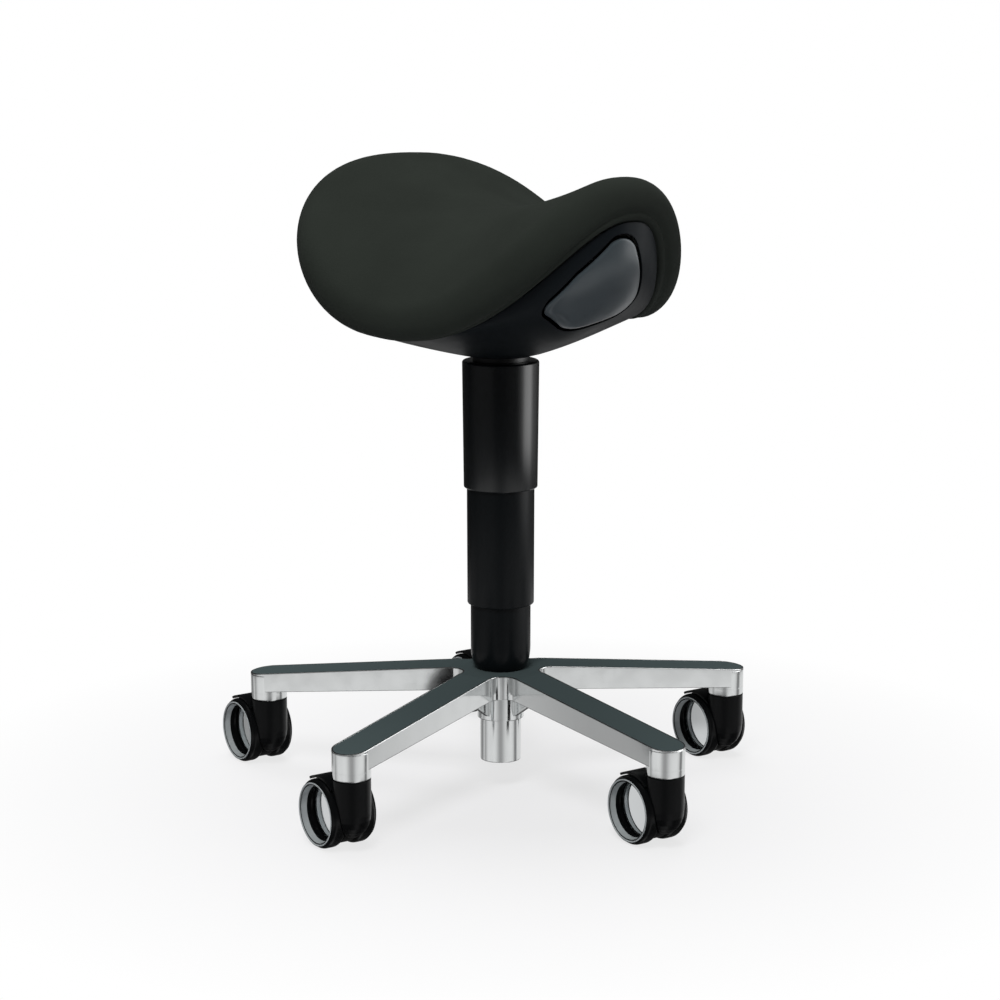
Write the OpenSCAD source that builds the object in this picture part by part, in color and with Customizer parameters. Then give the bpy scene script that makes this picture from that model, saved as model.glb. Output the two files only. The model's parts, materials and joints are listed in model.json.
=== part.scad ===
// Saddle stool: a five-arm die-cast base on twin-wheel castors, a gas spring
// inside three telescopic sleeves, and an upholstered saddle seat on a moulded
// shell that carries the height lever. Lengths are in millimetres, angles in
// degrees. The origin is on the column's axis at floor level, +Z is up and the
// narrow front of the saddle faces -Y.

/* [Castors] */
// Diameter of a castor wheel
wheel_d = 65; // [60:1:75]
// Width of one wheel across its tread
wheel_w = 17; // [15:0.5:19]
// Gap between the two wheels of a castor
wheel_gap = 14; // [13:0.5:18]
// Depth of the open dish in a wheel's outer face
dish_depth = 12.5; // [8:0.5:12.5]
// Distance from the stem's axis back to the axle
castor_trail = 26.2; // [22:0.2:30]
// Angle that the castors have trailed round to, from +Y
castor_yaw = -4.1; // [-180:0.1:180]
// Diameter of a castor's stem
stem_d = 11; // [10:0.5:12]
// Length of stem above the castor's housing
stem_h = 22; // [18:1:24]
// Diameter of a castor's axle
axle_d = 8; // [6:0.5:9]

/* [Star base] */
// Radius from the column's axis to each castor stem
base_r = 244; // [225:1:265]
// Width of an arm
arm_w = 36; // [34:1:40]
// Height of a castor socket, from its mouth to the arm's top
socket_h = 28.4; // [27:0.2:34]
// Rise of an arm's top from its tip to the hub
arm_rise = 21.5; // [10:0.5:30]
// Depth of an arm behind its socket
arm_tip_depth = 19; // [17:0.5:24]
// Depth of an arm at the hub
arm_root_depth = 24; // [22:0.5:30]
// Radius of the hub's flat top
hub_flat_r = 47; // [44:1:52]
// Radius of the web between two arms
web_r = 13.6; // [10:0.2:20]
// Outer diameter of the hub's lower tube
hub_tube_d = 40.6; // [40:0.2:46]
// Height of the whole hub
hub_h = 92.9; // [85:0.5:95]
// Depth of the relief cells under an arm
cell_depth = 4; // [2:0.5:6]
// Thickness of the ribs between and beside the cells
cast_wall = 4; // [3:0.5:5]
// Height of the bush that lines a socket's mouth
bush_h = 7.4; // [6:0.2:9]
// Width of the polished edge that frames the inlay
inlay_edge = 1.3; // [1:0.1:3]
// Thickness of the inlay
inlay_t = 1.2; // [0.8:0.1:2]

/* [Column] */
// Height of the column from the hub's top to the shell's neck
column_h = 309.2; // [300:0.5:330]
// Travel of the seat above the height it stands at
travel_up = 34; // [20:1:36]
// Travel of the seat below the height it stands at
travel_down = 126; // [100:1:128]
// Outer diameter of the upper sleeve at its top
upper_d = 74.4; // [74:0.2:80]
// Outer diameter of the middle sleeve at its top
middle_d = 65.8; // [65:0.2:66.2]
// Outer diameter of the lower sleeve
lower_d = 58.6; // [57.5:0.1:59]
// Length of the upper sleeve
upper_h = 123.9; // [118:0.5:126]
// Length of the middle sleeve
middle_h = 139.4; // [134:0.2:141]
// Wall of a sleeve
sleeve_wall = 1.6; // [1.4:0.1:1.8]
// Height of a sleeve's catching lip
lip_h = 3; // [2:0.5:3.5]
// Outer diameter of the standpipe
pipe_d = 50; // [48:0.5:51]
// Wall of the standpipe
pipe_wall = 2; // [1.5:0.1:2.5]
// Outer diameter of the gas cylinder
cylinder_d = 28; // [27:0.5:30]
// Outer diameter of the piston rod
rod_d = 10; // [8:0.5:12]

/* [Saddle] */
// Half length of the saddle from the column to the front
saddle_front = 196.8; // [185:0.2:205]
// Half length of the saddle from the column to the rear
saddle_rear = 181.1; // [175:0.1:190]
// Half width of the saddle
saddle_half_w = 165.2; // [155:0.2:175]
// Share by which the saddle narrows to the front and widens to the rear
saddle_taper = 0.26; // [0.1:0.01:0.3]
// Squareness of the saddle's outline, 2 is an ellipse
saddle_square = 2.3; // [2:0.05:2.6]
// Rise of the front above the middle of the saddle
rise_front = 38.9; // [25:0.1:50]
// Rise of the rear above the middle of the saddle
rise_rear = 43.5; // [25:0.1:50]
// Drop of the sides below the middle of the saddle
drop_sides = 69.1; // [60:0.1:75]
// Radius of the pad's rolled edge, half of its thickness
roll_r = 21.7; // [18:0.1:24]
// Height of the saddle's middle layer above the shell's neck
saddle_h = 120.1; // [114:0.1:126]
// Thickness of the seat pan
pan_t = 6; // [4:0.5:8]
// Wall of the moulded shell
shell_wall = 3; // [2.5:0.1:3.5]
// Radius of the shell's neck
neck_r = 29.5; // [28:0.1:31]

/* [Height lever] */
// Gap round the lever's paddle
paddle_gap = 2.6; // [2:0.1:3]
// Pull of the paddle
paddle_pull = 12; // [8:0.5:12]
// Height of the paddle's lower end above the shell's neck
paddle_foot = 41.3; // [40:0.1:46]

/* [Hidden] */
$fn = 64;
arms = 5;
castor_parts = ["stem", "housing", "axle", "wheel_left", "wheel_right", "rim_left", "rim_right"];
castor_nodes = [for (k = [1:arms]) for (part = castor_parts) str("castor_", k, "_", part)];

fit = 0.05;          // running clearance on a radius
seat = 0.3;          // gap between a moving piece and its seat
pan_gap = 0.9;       // gap between the pad and the pan
shell_gap = 1.5;     // gap between the pad and the shell's rim
head_gap = 1.8;      // added gap above the paddle, for its swing
past = 1;            // how far a cut runs past what it cuts
black = "#17191b";
polished = "#c9cdce";

// Castor, in its own frame: stem on Z, trailing to +Y, axle along X
wheel_r = wheel_d / 2;
wheel_play = 1;
hood_t = 2.2;
hood_r = wheel_r + wheel_play + hood_t;
housing_r = arm_w / 2;
castor_h = wheel_r + hood_r + 2;
web_half = wheel_gap / 2 - 0.5;
wheel_out = wheel_gap / 2 + wheel_w;
shoulder_r = 5;
rim_lip_r = wheel_r * 0.91;
rim_w = 1.1;
rim_depth = 6.5;
dish_r = rim_lip_r - rim_w;
dish_floor_r = dish_r - 1.5;
dish_floor = wheel_out - dish_depth;
cap_t = 0.8;
stem_in = 18;

// Star base
socket_z = castor_h + 0.4;
tip_top = socket_z + socket_h;
hub_top = tip_top + arm_rise;
hub_bottom = hub_top - hub_h;
arm_step = 360 / arms;
half_step = arm_step / 2;
collar_r = hub_tube_d / 2 + 2.7;
collar_z = hub_bottom + 43;
web_c = (arm_w / 2 + web_r) / sin(half_step);
tip_r = arm_w / 2 + 0.02;   // a hair proud of the arm, so the two overlap cleanly

// Column
pipe_r = pipe_d / 2;
tail_top_r = hub_tube_d / 2 - 0.2;
tail_bottom_r = hub_tube_d / 2 - 3.4;
tail_bottom = hub_bottom + 3.4;
base_plate = 3;
foot_h = 21.5;
neck_z = hub_top + column_h;
upper_top = neck_z - 4.8;
upper_bottom = upper_top - upper_h;
middle_top = upper_bottom + travel_up / 2 + 2 * lip_h + 1;
middle_bottom = middle_top - middle_h;
lower_top = middle_bottom + travel_up / 2 + 2 * lip_h + 1;
boss_bottom = upper_top - 7;
bushing_flange = 3;
pipe_top = boss_bottom - travel_down - bushing_flange - 6;
bushing_h = 70;
washer_z = tail_bottom + base_plate;
washer_h = 4;
bumper_h = 12.5;
cylinder_r = cylinder_d / 2;
cylinder_bottom = washer_z + washer_h + bumper_h + travel_down + seat;
cylinder_top = neck_z + 22;
cone_h = 28;
piston_z = cylinder_bottom + travel_up + 14;
upper_r = upper_d / 2;
upper_foot_r = upper_r - 1.4;
middle_r = middle_d / 2;
middle_foot_r = middle_r - 0.4;
lower_r = lower_d / 2;

// Mechanism
plate_z = neck_z + 28;
plate_t = 3;
plate_size = [100, 150];
boss_r = 24;
pin_r = 4;
pin_top = plate_z + plate_t + 4;
bar_t = 5;
bar_w = 12;
bar_z = pin_top + seat;
pivot_y = 68;
pivot_z = bar_z + 4;
pivot_r = 2.5;
screw_at = [38, 55];
shell_screw_at = [56, 92];
mate_z = neck_z + 46;

// Saddle sheet: polar angle 0 is the front, share 0 is the middle, 1 the rim
sheet_z = neck_z + saddle_h;
sheet_shift = 2.2;
wave_3 = 6.4;
wave_4 = -1.45;
wave_1 = (rise_front - rise_rear) / 2 - wave_3;
wave_2 = ((rise_front + rise_rear) / 2 + drop_sides) / 2;
wave_0 = ((rise_front + rise_rear) / 2 - drop_sides) / 2 - wave_4;
curl_length = 1.65;
curl_width = 2;
around = 60;
pan_shares = [0.15, 0.35, 0.55, 0.75, 0.93];
pan_drop = roll_r + pan_gap;
shell_turn = 160;
rim_thin = 0.6;      // share of the shell's wall that is left off at its rim
rim_slope = 0.6;
shell_round = 3.06;
shell_deepen = 1.13;
keel_front = 55.3;
keel_side = 27.6;
shell_steps = [0, 0.04, 0.1, 0.18, 0.28, 0.38, 0.48, 0.58, 0.67, 0.76, 0.85, 0.93, 1];
front_steps = [for (i = [5:len(shell_steps) - 1]) shell_steps[i]];

// Paddle outline as seen from the front: centre across, centre up, radius
paddle_discs = [[-8.7, 69.5, 16.1], [15.5, 23.7, 15.1], [-16.6, 32.9, 34], [-48.9, 24, 10.6]];
hinge_y = -168;
hinge_z = neck_z + paddle_foot + 66;
hinge_x = -8;
hinge_r = 2;
crank_tip = [hinge_y + 38, hinge_z - 14];

module mirrored_x() {
    children();
    mirror([1, 0, 0]) children();
}
module at_corners(c) {
    for (sx = [-1, 1], sy = [-1, 1]) translate([sx * c[0], sy * c[1], 0]) children();
}
module tube(outer, inner, h) {
    difference() {
        cylinder(r = outer, h = h);
        translate([0, 0, -past]) cylinder(r = inner, h = h + 2 * past);
    }
}
// Cylinder along X, centred on it
module x_rod(r, length) {
    rotate([0, 90, 0]) cylinder(r = r, h = length, center = true);
}
// Prism along X from an outline drawn in Y and Z
module x_prism(width, outline) {
    rotate([90, 0, 90]) linear_extrude(width, center = true) polygon(outline);
}

// ---------- star base ----------

function arm_top(r) = r < hub_flat_r ? hub_top
    : hub_top - arm_rise * (r - hub_flat_r) / (base_r - hub_flat_r);
function arm_under(r) = arm_top(r)
    - (arm_root_depth + (arm_tip_depth - arm_root_depth) * r / base_r);

module each_arm() {
    for (k = [0:arms - 1]) rotate(k * arm_step - 90) children();
}
// Plan of the star, drawn in by a margin. Each web's curve dips 0.02 into its two arms
module star_plan(margin) {
    r = arm_w / 2 - margin;
    web = web_r + margin + 0.02;
    each_arm() {
        translate([0, -r]) square([base_r, 2 * r]);
        translate([base_r, 0]) circle(r);
        rotate(half_step) polygon(concat([[0, 0]],
            [for (a = [90 + half_step:9:270 - half_step]) [web_c + web * cos(a), -web * sin(a)]]));
    }
}
// Everything below the slopes that fall from the hub along each arm
module star_slopes(flat_z, end_z) {
    far = base_r + arm_w;
    intersection_for (k = [0:arms - 1]) rotate(k * arm_step - 90) rotate([90, 0, 0])
        linear_extrude(4 * far, center = true) polygon([
            [-2 * far, 0], [far, 0], [far, end_z], [hub_flat_r, flat_z], [-2 * far, flat_z]
        ]);
}
// Everything below the star's top, lowered by a drop
module star_roof(drop) {
    star_slopes(hub_top - drop, arm_top(base_r + arm_w) - drop);
}
module arm_beams() {
    difference() {
        linear_extrude(hub_top + past) star_plan(0);
        star_slopes(arm_under(hub_flat_r), arm_under(base_r + arm_w));
    }
}
// Relief cells in the underside of an arm, with a rib between each two
module arm_cells() {
    cells = 4;
    start = 64;
    end = base_r - arm_w / 2 - cast_wall;
    pitch = (end - start + cast_wall) / cells;
    for (i = [0:cells - 1]) {
        a = start + i * pitch;
        b = a + pitch - cast_wall;
        rotate([90, 0, 0]) linear_extrude(arm_w - 2 * cast_wall, center = true)
            polygon([
                [a, arm_under(a) - past], [b, arm_under(b) - past],
                [b, arm_under(b) + cell_depth], [a, arm_under(a) + cell_depth]
            ]);
    }
}
module hub_gusset() {
    reach = 58;
    rotate([90, 0, 0]) linear_extrude(cast_wall, center = true) polygon([
        [hub_tube_d / 2, collar_z + 5], [collar_r + 2, collar_z + 5],
        [reach, arm_under(reach) + past], [hub_tube_d / 2, arm_under(reach) + past]
    ]);
}
module star_base() {
    color(polished) difference() {
        intersection() {
            union() {
                arm_beams();
                translate([0, 0, hub_bottom]) cylinder(d = hub_tube_d, h = hub_h);
                translate([0, 0, collar_z]) cylinder(r = collar_r, h = hub_top - collar_z);
                each_arm() {
                    hub_gusset();
                    translate([base_r, 0, socket_z + bush_h])
                        cylinder(r = tip_r, h = socket_h - bush_h + arm_rise);
                }
            }
            star_roof(0);
        }
        each_arm() {
            arm_cells();
            translate([base_r, 0, socket_z - past])
                cylinder(d = stem_d + 2 * fit, h = stem_h + 1 + past);
        }
        intersection() {
            linear_extrude(hub_top + past) star_plan(inlay_edge);
            difference() {
                translate([-base_r * 2, -base_r * 2, tip_top - arm_rise])
                    cube([base_r * 4, base_r * 4, 3 * arm_rise]);
                star_roof(inlay_t);
            }
        }
        translate([0, 0, hub_bottom - past]) cylinder(
            r1 = tail_bottom_r + fit - past * (tail_top_r - tail_bottom_r) / hub_h,
            r2 = tail_top_r + fit + past * (tail_top_r - tail_bottom_r) / hub_h,
            h = hub_h + 2 * past);
    }
}
module castor_sockets() {
    color(polished) each_arm() translate([base_r, 0, socket_z])
        tube(arm_w / 2, stem_d / 2 + fit, bush_h);
}
module star_inlay() {
    color("#4d5757") difference() {
        intersection() {
            linear_extrude(hub_top + past) star_plan(inlay_edge + 0.1);
            star_roof(0);
        }
        star_roof(inlay_t);
        cylinder(r = tail_top_r + sleeve_wall + 1.2, h = hub_top + past);
    }
}

// ---------- column ----------

// Outer radius of the standpipe's tapered tail at a height
function tail_r(z) = tail_bottom_r + (tail_top_r - tail_bottom_r) * (z - hub_bottom) / hub_h;

module standpipe() {
    shoulder = hub_top + foot_h + 4;
    color("#3a3d40") rotate_extrude($fn = 96) polygon([
        [rod_d / 2 + 0.2, tail_bottom], [tail_r(tail_bottom), tail_bottom],
        [tail_r(hub_top), hub_top], [pipe_r, shoulder], [pipe_r, pipe_top],
        [pipe_r - pipe_wall, pipe_top], [pipe_r - pipe_wall, shoulder],
        [tail_r(hub_top) - pipe_wall, hub_top],
        [tail_r(washer_z) - pipe_wall, washer_z], [rod_d / 2 + 0.2, washer_z]
    ]);
}
module guide_bushing() {
    color("#c9c6b8") translate([0, 0, pipe_top - bushing_h]) {
        tube(pipe_r - pipe_wall - fit, cylinder_r + fit, bushing_h);
        translate([0, 0, bushing_h]) tube(pipe_r, cylinder_r + fit, bushing_flange);
    }
}
module thrust_bearing() {
    color(polished) translate([0, 0, washer_z])
        tube(tail_r(washer_z) - pipe_wall - 0.6, rod_d / 2 + fit, washer_h);
}
module end_bumper() {
    color(black) translate([0, 0, washer_z + washer_h])
        tube(tail_r(washer_z) - pipe_wall - 1, rod_d / 2 + fit, bumper_h);
}
module retaining_clip() {
    color(polished) translate([0, 0, tail_bottom - 1.6])
        tube(rod_d / 2 + 4, rod_d / 2 - 1 + fit, 1.5);
}
module piston_rod() {
    groove = [tail_bottom - 1.7, tail_bottom];
    tip = tail_bottom - 4.5;
    color(polished) rotate_extrude() polygon([
        [0, tip], [rod_d / 2 - 1, tip], [rod_d / 2, tip + 1], [rod_d / 2, groove[0]],
        [rod_d / 2 - 1, groove[0]], [rod_d / 2 - 1, groove[1]], [rod_d / 2, groove[1]],
        [rod_d / 2, piston_z], [cylinder_r - 1.7 - fit, piston_z],
        [cylinder_r - 1.7 - fit, piston_z + 10], [0, piston_z + 10]
    ]);
}
module gas_cylinder() {
    bore = cylinder_r - 1.7;
    seal_h = 10;
    cap_h = 12;
    color("#26282b") rotate_extrude($fn = 96) polygon([
        [rod_d / 2 + fit, cylinder_bottom], [cylinder_r, cylinder_bottom],
        [cylinder_r, cylinder_top - cone_h], [cylinder_r - 1, cylinder_top],
        [pin_r + fit, cylinder_top], [pin_r + fit, cylinder_top - cap_h],
        [bore - 1, cylinder_top - cap_h], [bore - 1, cylinder_top - cone_h],
        [bore, cylinder_top - cone_h - 4], [bore, cylinder_bottom + seal_h],
        [rod_d / 2 + fit, cylinder_bottom + seal_h]
    ]);
}
module release_pin() {
    color(polished) translate([0, 0, cylinder_top - 10])
        cylinder(r = pin_r, h = pin_top - cylinder_top + 10);
}
// Sleeve with a lip turned in at its foot and one turned out at its top
module sleeve(bottom, top, r_bottom, r_top, in_r, out_r) {
    w = sleeve_wall;
    edge = 1.2;
    rotate_extrude($fn = 96) polygon([
        [in_r, bottom], [r_bottom - edge, bottom], [r_bottom, bottom + edge],
        [r_top, top - lip_h - 0.6], [out_r, top - lip_h], [out_r, top],
        [r_top - w, top], [r_bottom - w, bottom + lip_h + 0.6], [in_r, bottom + lip_h]
    ]);
}
module sleeve_upper() {
    w = sleeve_wall;
    edge = 1.5;
    top_t = 2;
    color(black) rotate_extrude($fn = 96) polygon([
        [middle_r + seat, upper_bottom], [upper_foot_r - edge, upper_bottom],
        [upper_foot_r, upper_bottom + edge * 1.6], [upper_r, upper_top - edge],
        [upper_r - edge, upper_top], [boss_r + seat, upper_top],
        [boss_r + seat, upper_top - top_t], [upper_r - w, upper_top - top_t],
        [upper_foot_r - w, upper_bottom + lip_h + 0.6], [middle_r + seat, upper_bottom + lip_h]
    ]);
}
module sleeve_middle() {
    color(black) sleeve(middle_bottom, middle_top, middle_foot_r, middle_r,
        lower_r + seat, upper_foot_r - sleeve_wall - seat);
}
// The lower sleeve narrows to a foot that stands on the hub
module sleeve_lower() {
    w = sleeve_wall;
    foot_r = tail_top_r + w + 0.6;
    out_r = middle_foot_r - w - seat;
    steps = 6;
    z0 = hub_top + 0.1;
    bell = [for (i = [0:steps]) let (a = 90 * i / steps)
        [foot_r + (lower_r - foot_r) * sin(a), z0 + foot_h * (1 - cos(a))]];
    color(black) rotate_extrude($fn = 96) polygon(concat(
        bell,
        [[lower_r, lower_top - lip_h - 0.6], [out_r, lower_top - lip_h], [out_r, lower_top],
            [lower_r - w, lower_top], [lower_r - w, z0 + foot_h]],
        [for (i = [steps - 1:-1:0]) [bell[i][0] - w, bell[i][1] + w * (1 - i / steps) * 0.2]]
    ));
}

// ---------- saddle surfaces ----------

function spow(x, p) = sign(x) * pow(abs(x), p);
function unit(v) = v / norm(v);

// Middle layer of the saddle at a polar angle and a share of the way out
function sheet(a, k) =
    let (
        c = spow(cos(a), 2 / saddle_square),
        s = spow(sin(a), 2 / saddle_square),
        reach = (cos(a) > 0 ? saddle_front + sheet_shift : saddle_rear - sheet_shift) - roll_r,
        rise = wave_0 + wave_1 * cos(a) + wave_2 * cos(2 * a) + wave_3 * cos(3 * a)
            + wave_4 * cos(4 * a),
        curl = curl_length * pow(cos(a), 2) + curl_width * pow(sin(a), 2)
    )
    [
        (saddle_half_w - roll_r) * s * k * (1 - saddle_taper * c * k),
        sheet_shift - reach * c * k,
        sheet_z + rise * pow(k, curl)
    ];
// Upward normal of the middle layer
function sheet_normal(a, k) =
    let (
        n = cross(sheet(a, k + 0.002) - sheet(a, k - 0.002), sheet(a + 0.2, k) - sheet(a - 0.2, k)),
        u = unit(n)
    )
    u[2] < 0 ? -u : u;
function rim_normal(a) = sheet_normal(a, 0.985);
function rim_outward(a) =
    let (d = sheet(a, 1) - sheet(a, 0.97), n = rim_normal(a))
    unit(d - (d * n) * n);
// Point on the rolled edge, turned from the top (0) round to the underside (180)
function roll(a, turn, r) =
    sheet(a, 1) + r * (cos(turn) * rim_normal(a) + sin(turn) * rim_outward(a));
function angle(i) = 360 * i / around;
function ring(k, lift) = [for (i = [0:around - 1])
    let (a = angle(i) + 0.01) sheet(a, k) + lift * sheet_normal(a, min(k, 0.985))];
function edge_ring(turn, r) = [for (i = [0:around - 1]) roll(angle(i) + 0.01, turn, r)];

// Solid between rings stacked upward; the two ends close on points, and without
// ends the last ring closes on the first
module skin(rings, ends) {
    n = around;
    m = len(rings);
    pts = [for (r = rings) for (p = r) p];
    last = len(ends) == 0 ? m : m - 1;
    sides = [for (j = [0:last - 1]) for (i = [0:n - 1])
        let (a = j * n + i, b = j * n + (i + 1) % n,
            c = ((j + 1) % m) * n + (i + 1) % n, d = ((j + 1) % m) * n + i)
        for (f = [[a, d, c], [a, c, b]]) f];
    caps = len(ends) == 0 ? [] : concat(
        [for (i = [0:n - 1]) [m * n, i, (i + 1) % n]],
        [for (i = [0:n - 1]) [m * n + 1, (m - 1) * n + (i + 1) % n, (m - 1) * n + i]]);
    polyhedron(concat(pts, ends), concat(sides, caps), convexity = 8);
}

// Point of the shell's wall at a polar angle, a share of the way from neck to rim
// and a depth in from the outside. Under the pad's roll the wall thins toward its
// rim, which slopes down inward.
function shell_point(a, f, inset) =
    let (
        b = roll(a, shell_turn, roll_r + shell_gap),
        reach = norm([b[0], b[1]]),
        dir = [b[0], b[1]] / reach,
        keel = keel_front * pow(dir[1], 2) + keel_side * pow(dir[0], 2),
        here = shell_profile(f, reach, b[2], keel),
        before = shell_profile(max(f - 0.01, 0), reach, b[2], keel),
        after = shell_profile(min(f + 0.01, 1), reach, b[2], keel),
        t = unit(after - before),
        depth = inset > 0 ? inset * (1 - rim_thin * pow(f, 5)) : inset,
        slope = f < 1 ? 0 : rim_slope * max(depth, 0),
        p = here + depth * [-t[1], t[0]]
    )
    [dir[0] * p[0], dir[1] * p[0], p[1] - slope];
function shell_profile(f, reach, top, keel) =
    let (
        s = pow(sin(90 * f), 2 / shell_round),
        wall = top - neck_z - keel
    )
    [
        neck_r + (reach - neck_r) * s,
        neck_z + keel * pow(s, shell_deepen) + wall * (1 - pow(cos(90 * f), 2 / shell_round))
    ];
function reversed(list) = [for (i = [len(list) - 1:-1:0]) list[i]];
function shell_ring(f, inset) = [for (i = [0:around - 1]) shell_point(angle(i) + 0.01, f, inset)];
module shell_layer(steps, outer, inner) {
    skin(concat([for (f = steps) shell_ring(f, outer)],
        [for (f = reversed(steps)) shell_ring(f, inner)]), []);
}
// Solid that fills the shell out to the middle of its wall
module shell_filling() {
    skin([for (f = shell_steps) shell_ring(f, shell_wall / 2)],
        [[0, 0, neck_z + shell_wall / 2], [0, 0, sheet_z - drop_sides / 2]]);
}

// ---------- seat ----------

module seat_pad() {
    shares = [0.12, 0.25, 0.4, 0.55, 0.7, 0.83, 0.93, 1];
    turns = [150, 125, 100, 75, 50, 25];
    lift = [0, 0, roll_r];
    color("#25261f") skin(
        concat([for (k = shares) ring(k, -roll_r)], [for (t = turns) edge_ring(t, roll_r)],
            [for (k = reversed(shares)) ring(k, roll_r)]),
        [sheet(0, 0) - lift, sheet(0, 0) + lift]);
}
module pan_posts() {
    at_corners(screw_at) translate([0, 0, plate_z + plate_t]) cylinder(r = 9, h = saddle_h);
    at_corners(shell_screw_at) translate([0, 0, mate_z + seat]) cylinder(r = 7, h = saddle_h);
}
module seat_pan() {
    low = neck_z - past;
    inside = pan_drop + pan_t / 2;
    rim = ring(pan_shares[4], -inside);
    color("#33312c") difference() {
        union() {
            skin(concat([for (k = pan_shares) ring(k, -pan_drop - pan_t)],
                [for (k = reversed(pan_shares)) ring(k, -pan_drop)]),
                [sheet(0, 0) - [0, 0, pan_drop + pan_t], sheet(0, 0) - [0, 0, pan_drop]]);
            intersection() {
                pan_posts();
                skin(concat([[for (p = rim) [p[0], p[1], low]]],
                    [for (k = reversed(pan_shares)) ring(k, -inside)]),
                    [[0, 0, low], sheet(0, 0) - [0, 0, inside]]);
            }
        }
        at_corners(screw_at) translate([0, 0, plate_z]) cylinder(r = 4.02, h = 26);
        at_corners(shell_screw_at) translate([0, 0, mate_z]) cylinder(r = 2.42, h = 16);
    }
}
module paddle_outline(grow) {
    hull() for (d = paddle_discs)
        translate([d[0], neck_z + paddle_foot + d[1]]) circle(d[2] + grow, $fn = 32);
}
// Prism of an outline that runs through the front wall of the shell
module front_prism() {
    translate([0, -90, 0]) rotate([90, 0, 0]) linear_extrude(120) children();
}
module seat_shell() {
    color("#14181b") difference() {
        union() {
            shell_layer(shell_steps, 0, shell_wall);
            intersection() {
                union() {
                    at_corners(shell_screw_at) translate([0, 0, neck_z])
                        cylinder(r = 9, h = mate_z - neck_z);
                    mirrored_x() hinge_lug();
                }
                shell_filling();
            }
        }
        front_prism() hull() {
            paddle_outline(paddle_gap);
            translate([0, head_gap]) paddle_outline(paddle_gap);
        }
        at_corners(shell_screw_at) translate([0, 0, neck_z])
            cylinder(r = 2.42, h = mate_z);
        translate([0, hinge_y, hinge_z]) x_rod(hinge_r + fit, 80);
    }
}
// Lug inside the shell that holds one end of the paddle's pivot
module hinge_lug() {
    lug_x = 32;
    translate([lug_x, 0, 0]) x_prism(4, [
        [hinge_y + 8, hinge_z - 8], [hinge_y + 8, hinge_z + 8],
        [hinge_y - 40, hinge_z + 12], [hinge_y - 40, hinge_z - 12]
    ]);
}
module seat_mechanism() {
    color("#2b2d30") difference() {
        union() {
            translate([0, 0, boss_bottom]) cylinder(r = boss_r, h = plate_z - boss_bottom);
            translate([0, 0, upper_top + seat]) cylinder(r = boss_r + 3, h = plate_z - upper_top - seat);
            translate([-plate_size[0] / 2, -plate_size[1] / 2, plate_z])
                cube([plate_size[0], plate_size[1], plate_t]);
            for (sx = [-1, 1]) translate([sx * (bar_w / 2 + 2.5), 0, 0]) x_prism(3, [
                [pivot_y - 12, plate_z + plate_t], [pivot_y + 6, plate_z + plate_t],
                [pivot_y + 6, pivot_z + 6], [pivot_y - 6, pivot_z + 6]
            ]);
            for (a = [45:90:315]) rotate(a) rotate([90, 0, 0])
                linear_extrude(4, center = true) polygon([
                    [boss_r, plate_z - 14], [boss_r + 22, plate_z], [boss_r, plate_z]
                ]);
        }
        translate([0, 0, cylinder_top - cone_h])
            cylinder(r1 = cylinder_r + 0.02, r2 = cylinder_r - 1 + 0.02, h = cone_h);
        translate([0, 0, boss_bottom - past])
            cylinder(r = cylinder_r + 0.02, h = cylinder_top - cone_h - boss_bottom + past);
        translate([0, 0, cylinder_top - past])
            cylinder(r = pin_r + 3, h = plate_z + plate_t - cylinder_top + 2 * past);
        at_corners(screw_at) translate([0, 0, plate_z - past])
            cylinder(r = 4.3, h = plate_t + 2 * past);
        translate([0, pivot_y, pivot_z]) x_rod(pivot_r + fit, 60);
    }
}
module actuator_pivot() {
    color(polished) translate([0, pivot_y, pivot_z]) x_rod(pivot_r, bar_w + 12);
}
module actuator_bar() {
    t = bar_t;
    bend_y = -16;
    reach = crank_tip[0];
    top = crank_tip[1] - seat;
    color("#8a8f92") difference() {
        union() {
            x_prism(bar_w, [
                [pivot_y, bar_z], [pivot_y, bar_z + t + 1], [bend_y, bar_z + t],
                [reach + 12, top], [reach - 4, top], [reach - 4, top - t],
                [reach + 14, top - t], [bend_y, bar_z]
            ]);
            translate([0, pivot_y, pivot_z]) x_rod(6, bar_w);
        }
        translate([0, pivot_y, pivot_z]) x_rod(pivot_r + fit, bar_w + 2);
    }
}
module lever_paddle() {
    color("#3c4346") difference() {
        union() {
            intersection() {
                shell_layer(front_steps, -1, shell_wall);
                front_prism() paddle_outline(0);
            }
            paddle_lip();
            intersection() {
                paddle_ribs();
                front_prism() paddle_outline(-1);
                shell_filling();
            }
            paddle_crank();
        }
        translate([0, hinge_y, hinge_z]) x_rod(hinge_r + fit, 80);
    }
}
// Ridge along the paddle's lower left edge for the fingers
module paddle_lip() {
    intersection() {
        shell_layer(front_steps, -4, shell_wall);
        front_prism() difference() {
            paddle_outline(0);
            translate([14, 11]) paddle_outline(0);
        }
        translate([-80, -250, neck_z]) cube([70, 200, paddle_foot + 22]);
    }
}
// Two ribs that join the paddle's back to its hinge eyes
module paddle_ribs() {
    translate([hinge_x, 0, 0]) mirrored_x() translate([9, 0, 0]) x_prism(4, [
        [hinge_y + 5, hinge_z - 6], [hinge_y + 5, hinge_z + 5],
        [hinge_y - 40, hinge_z + 16], [hinge_y - 40, hinge_z - 30]
    ]);
}
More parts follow.
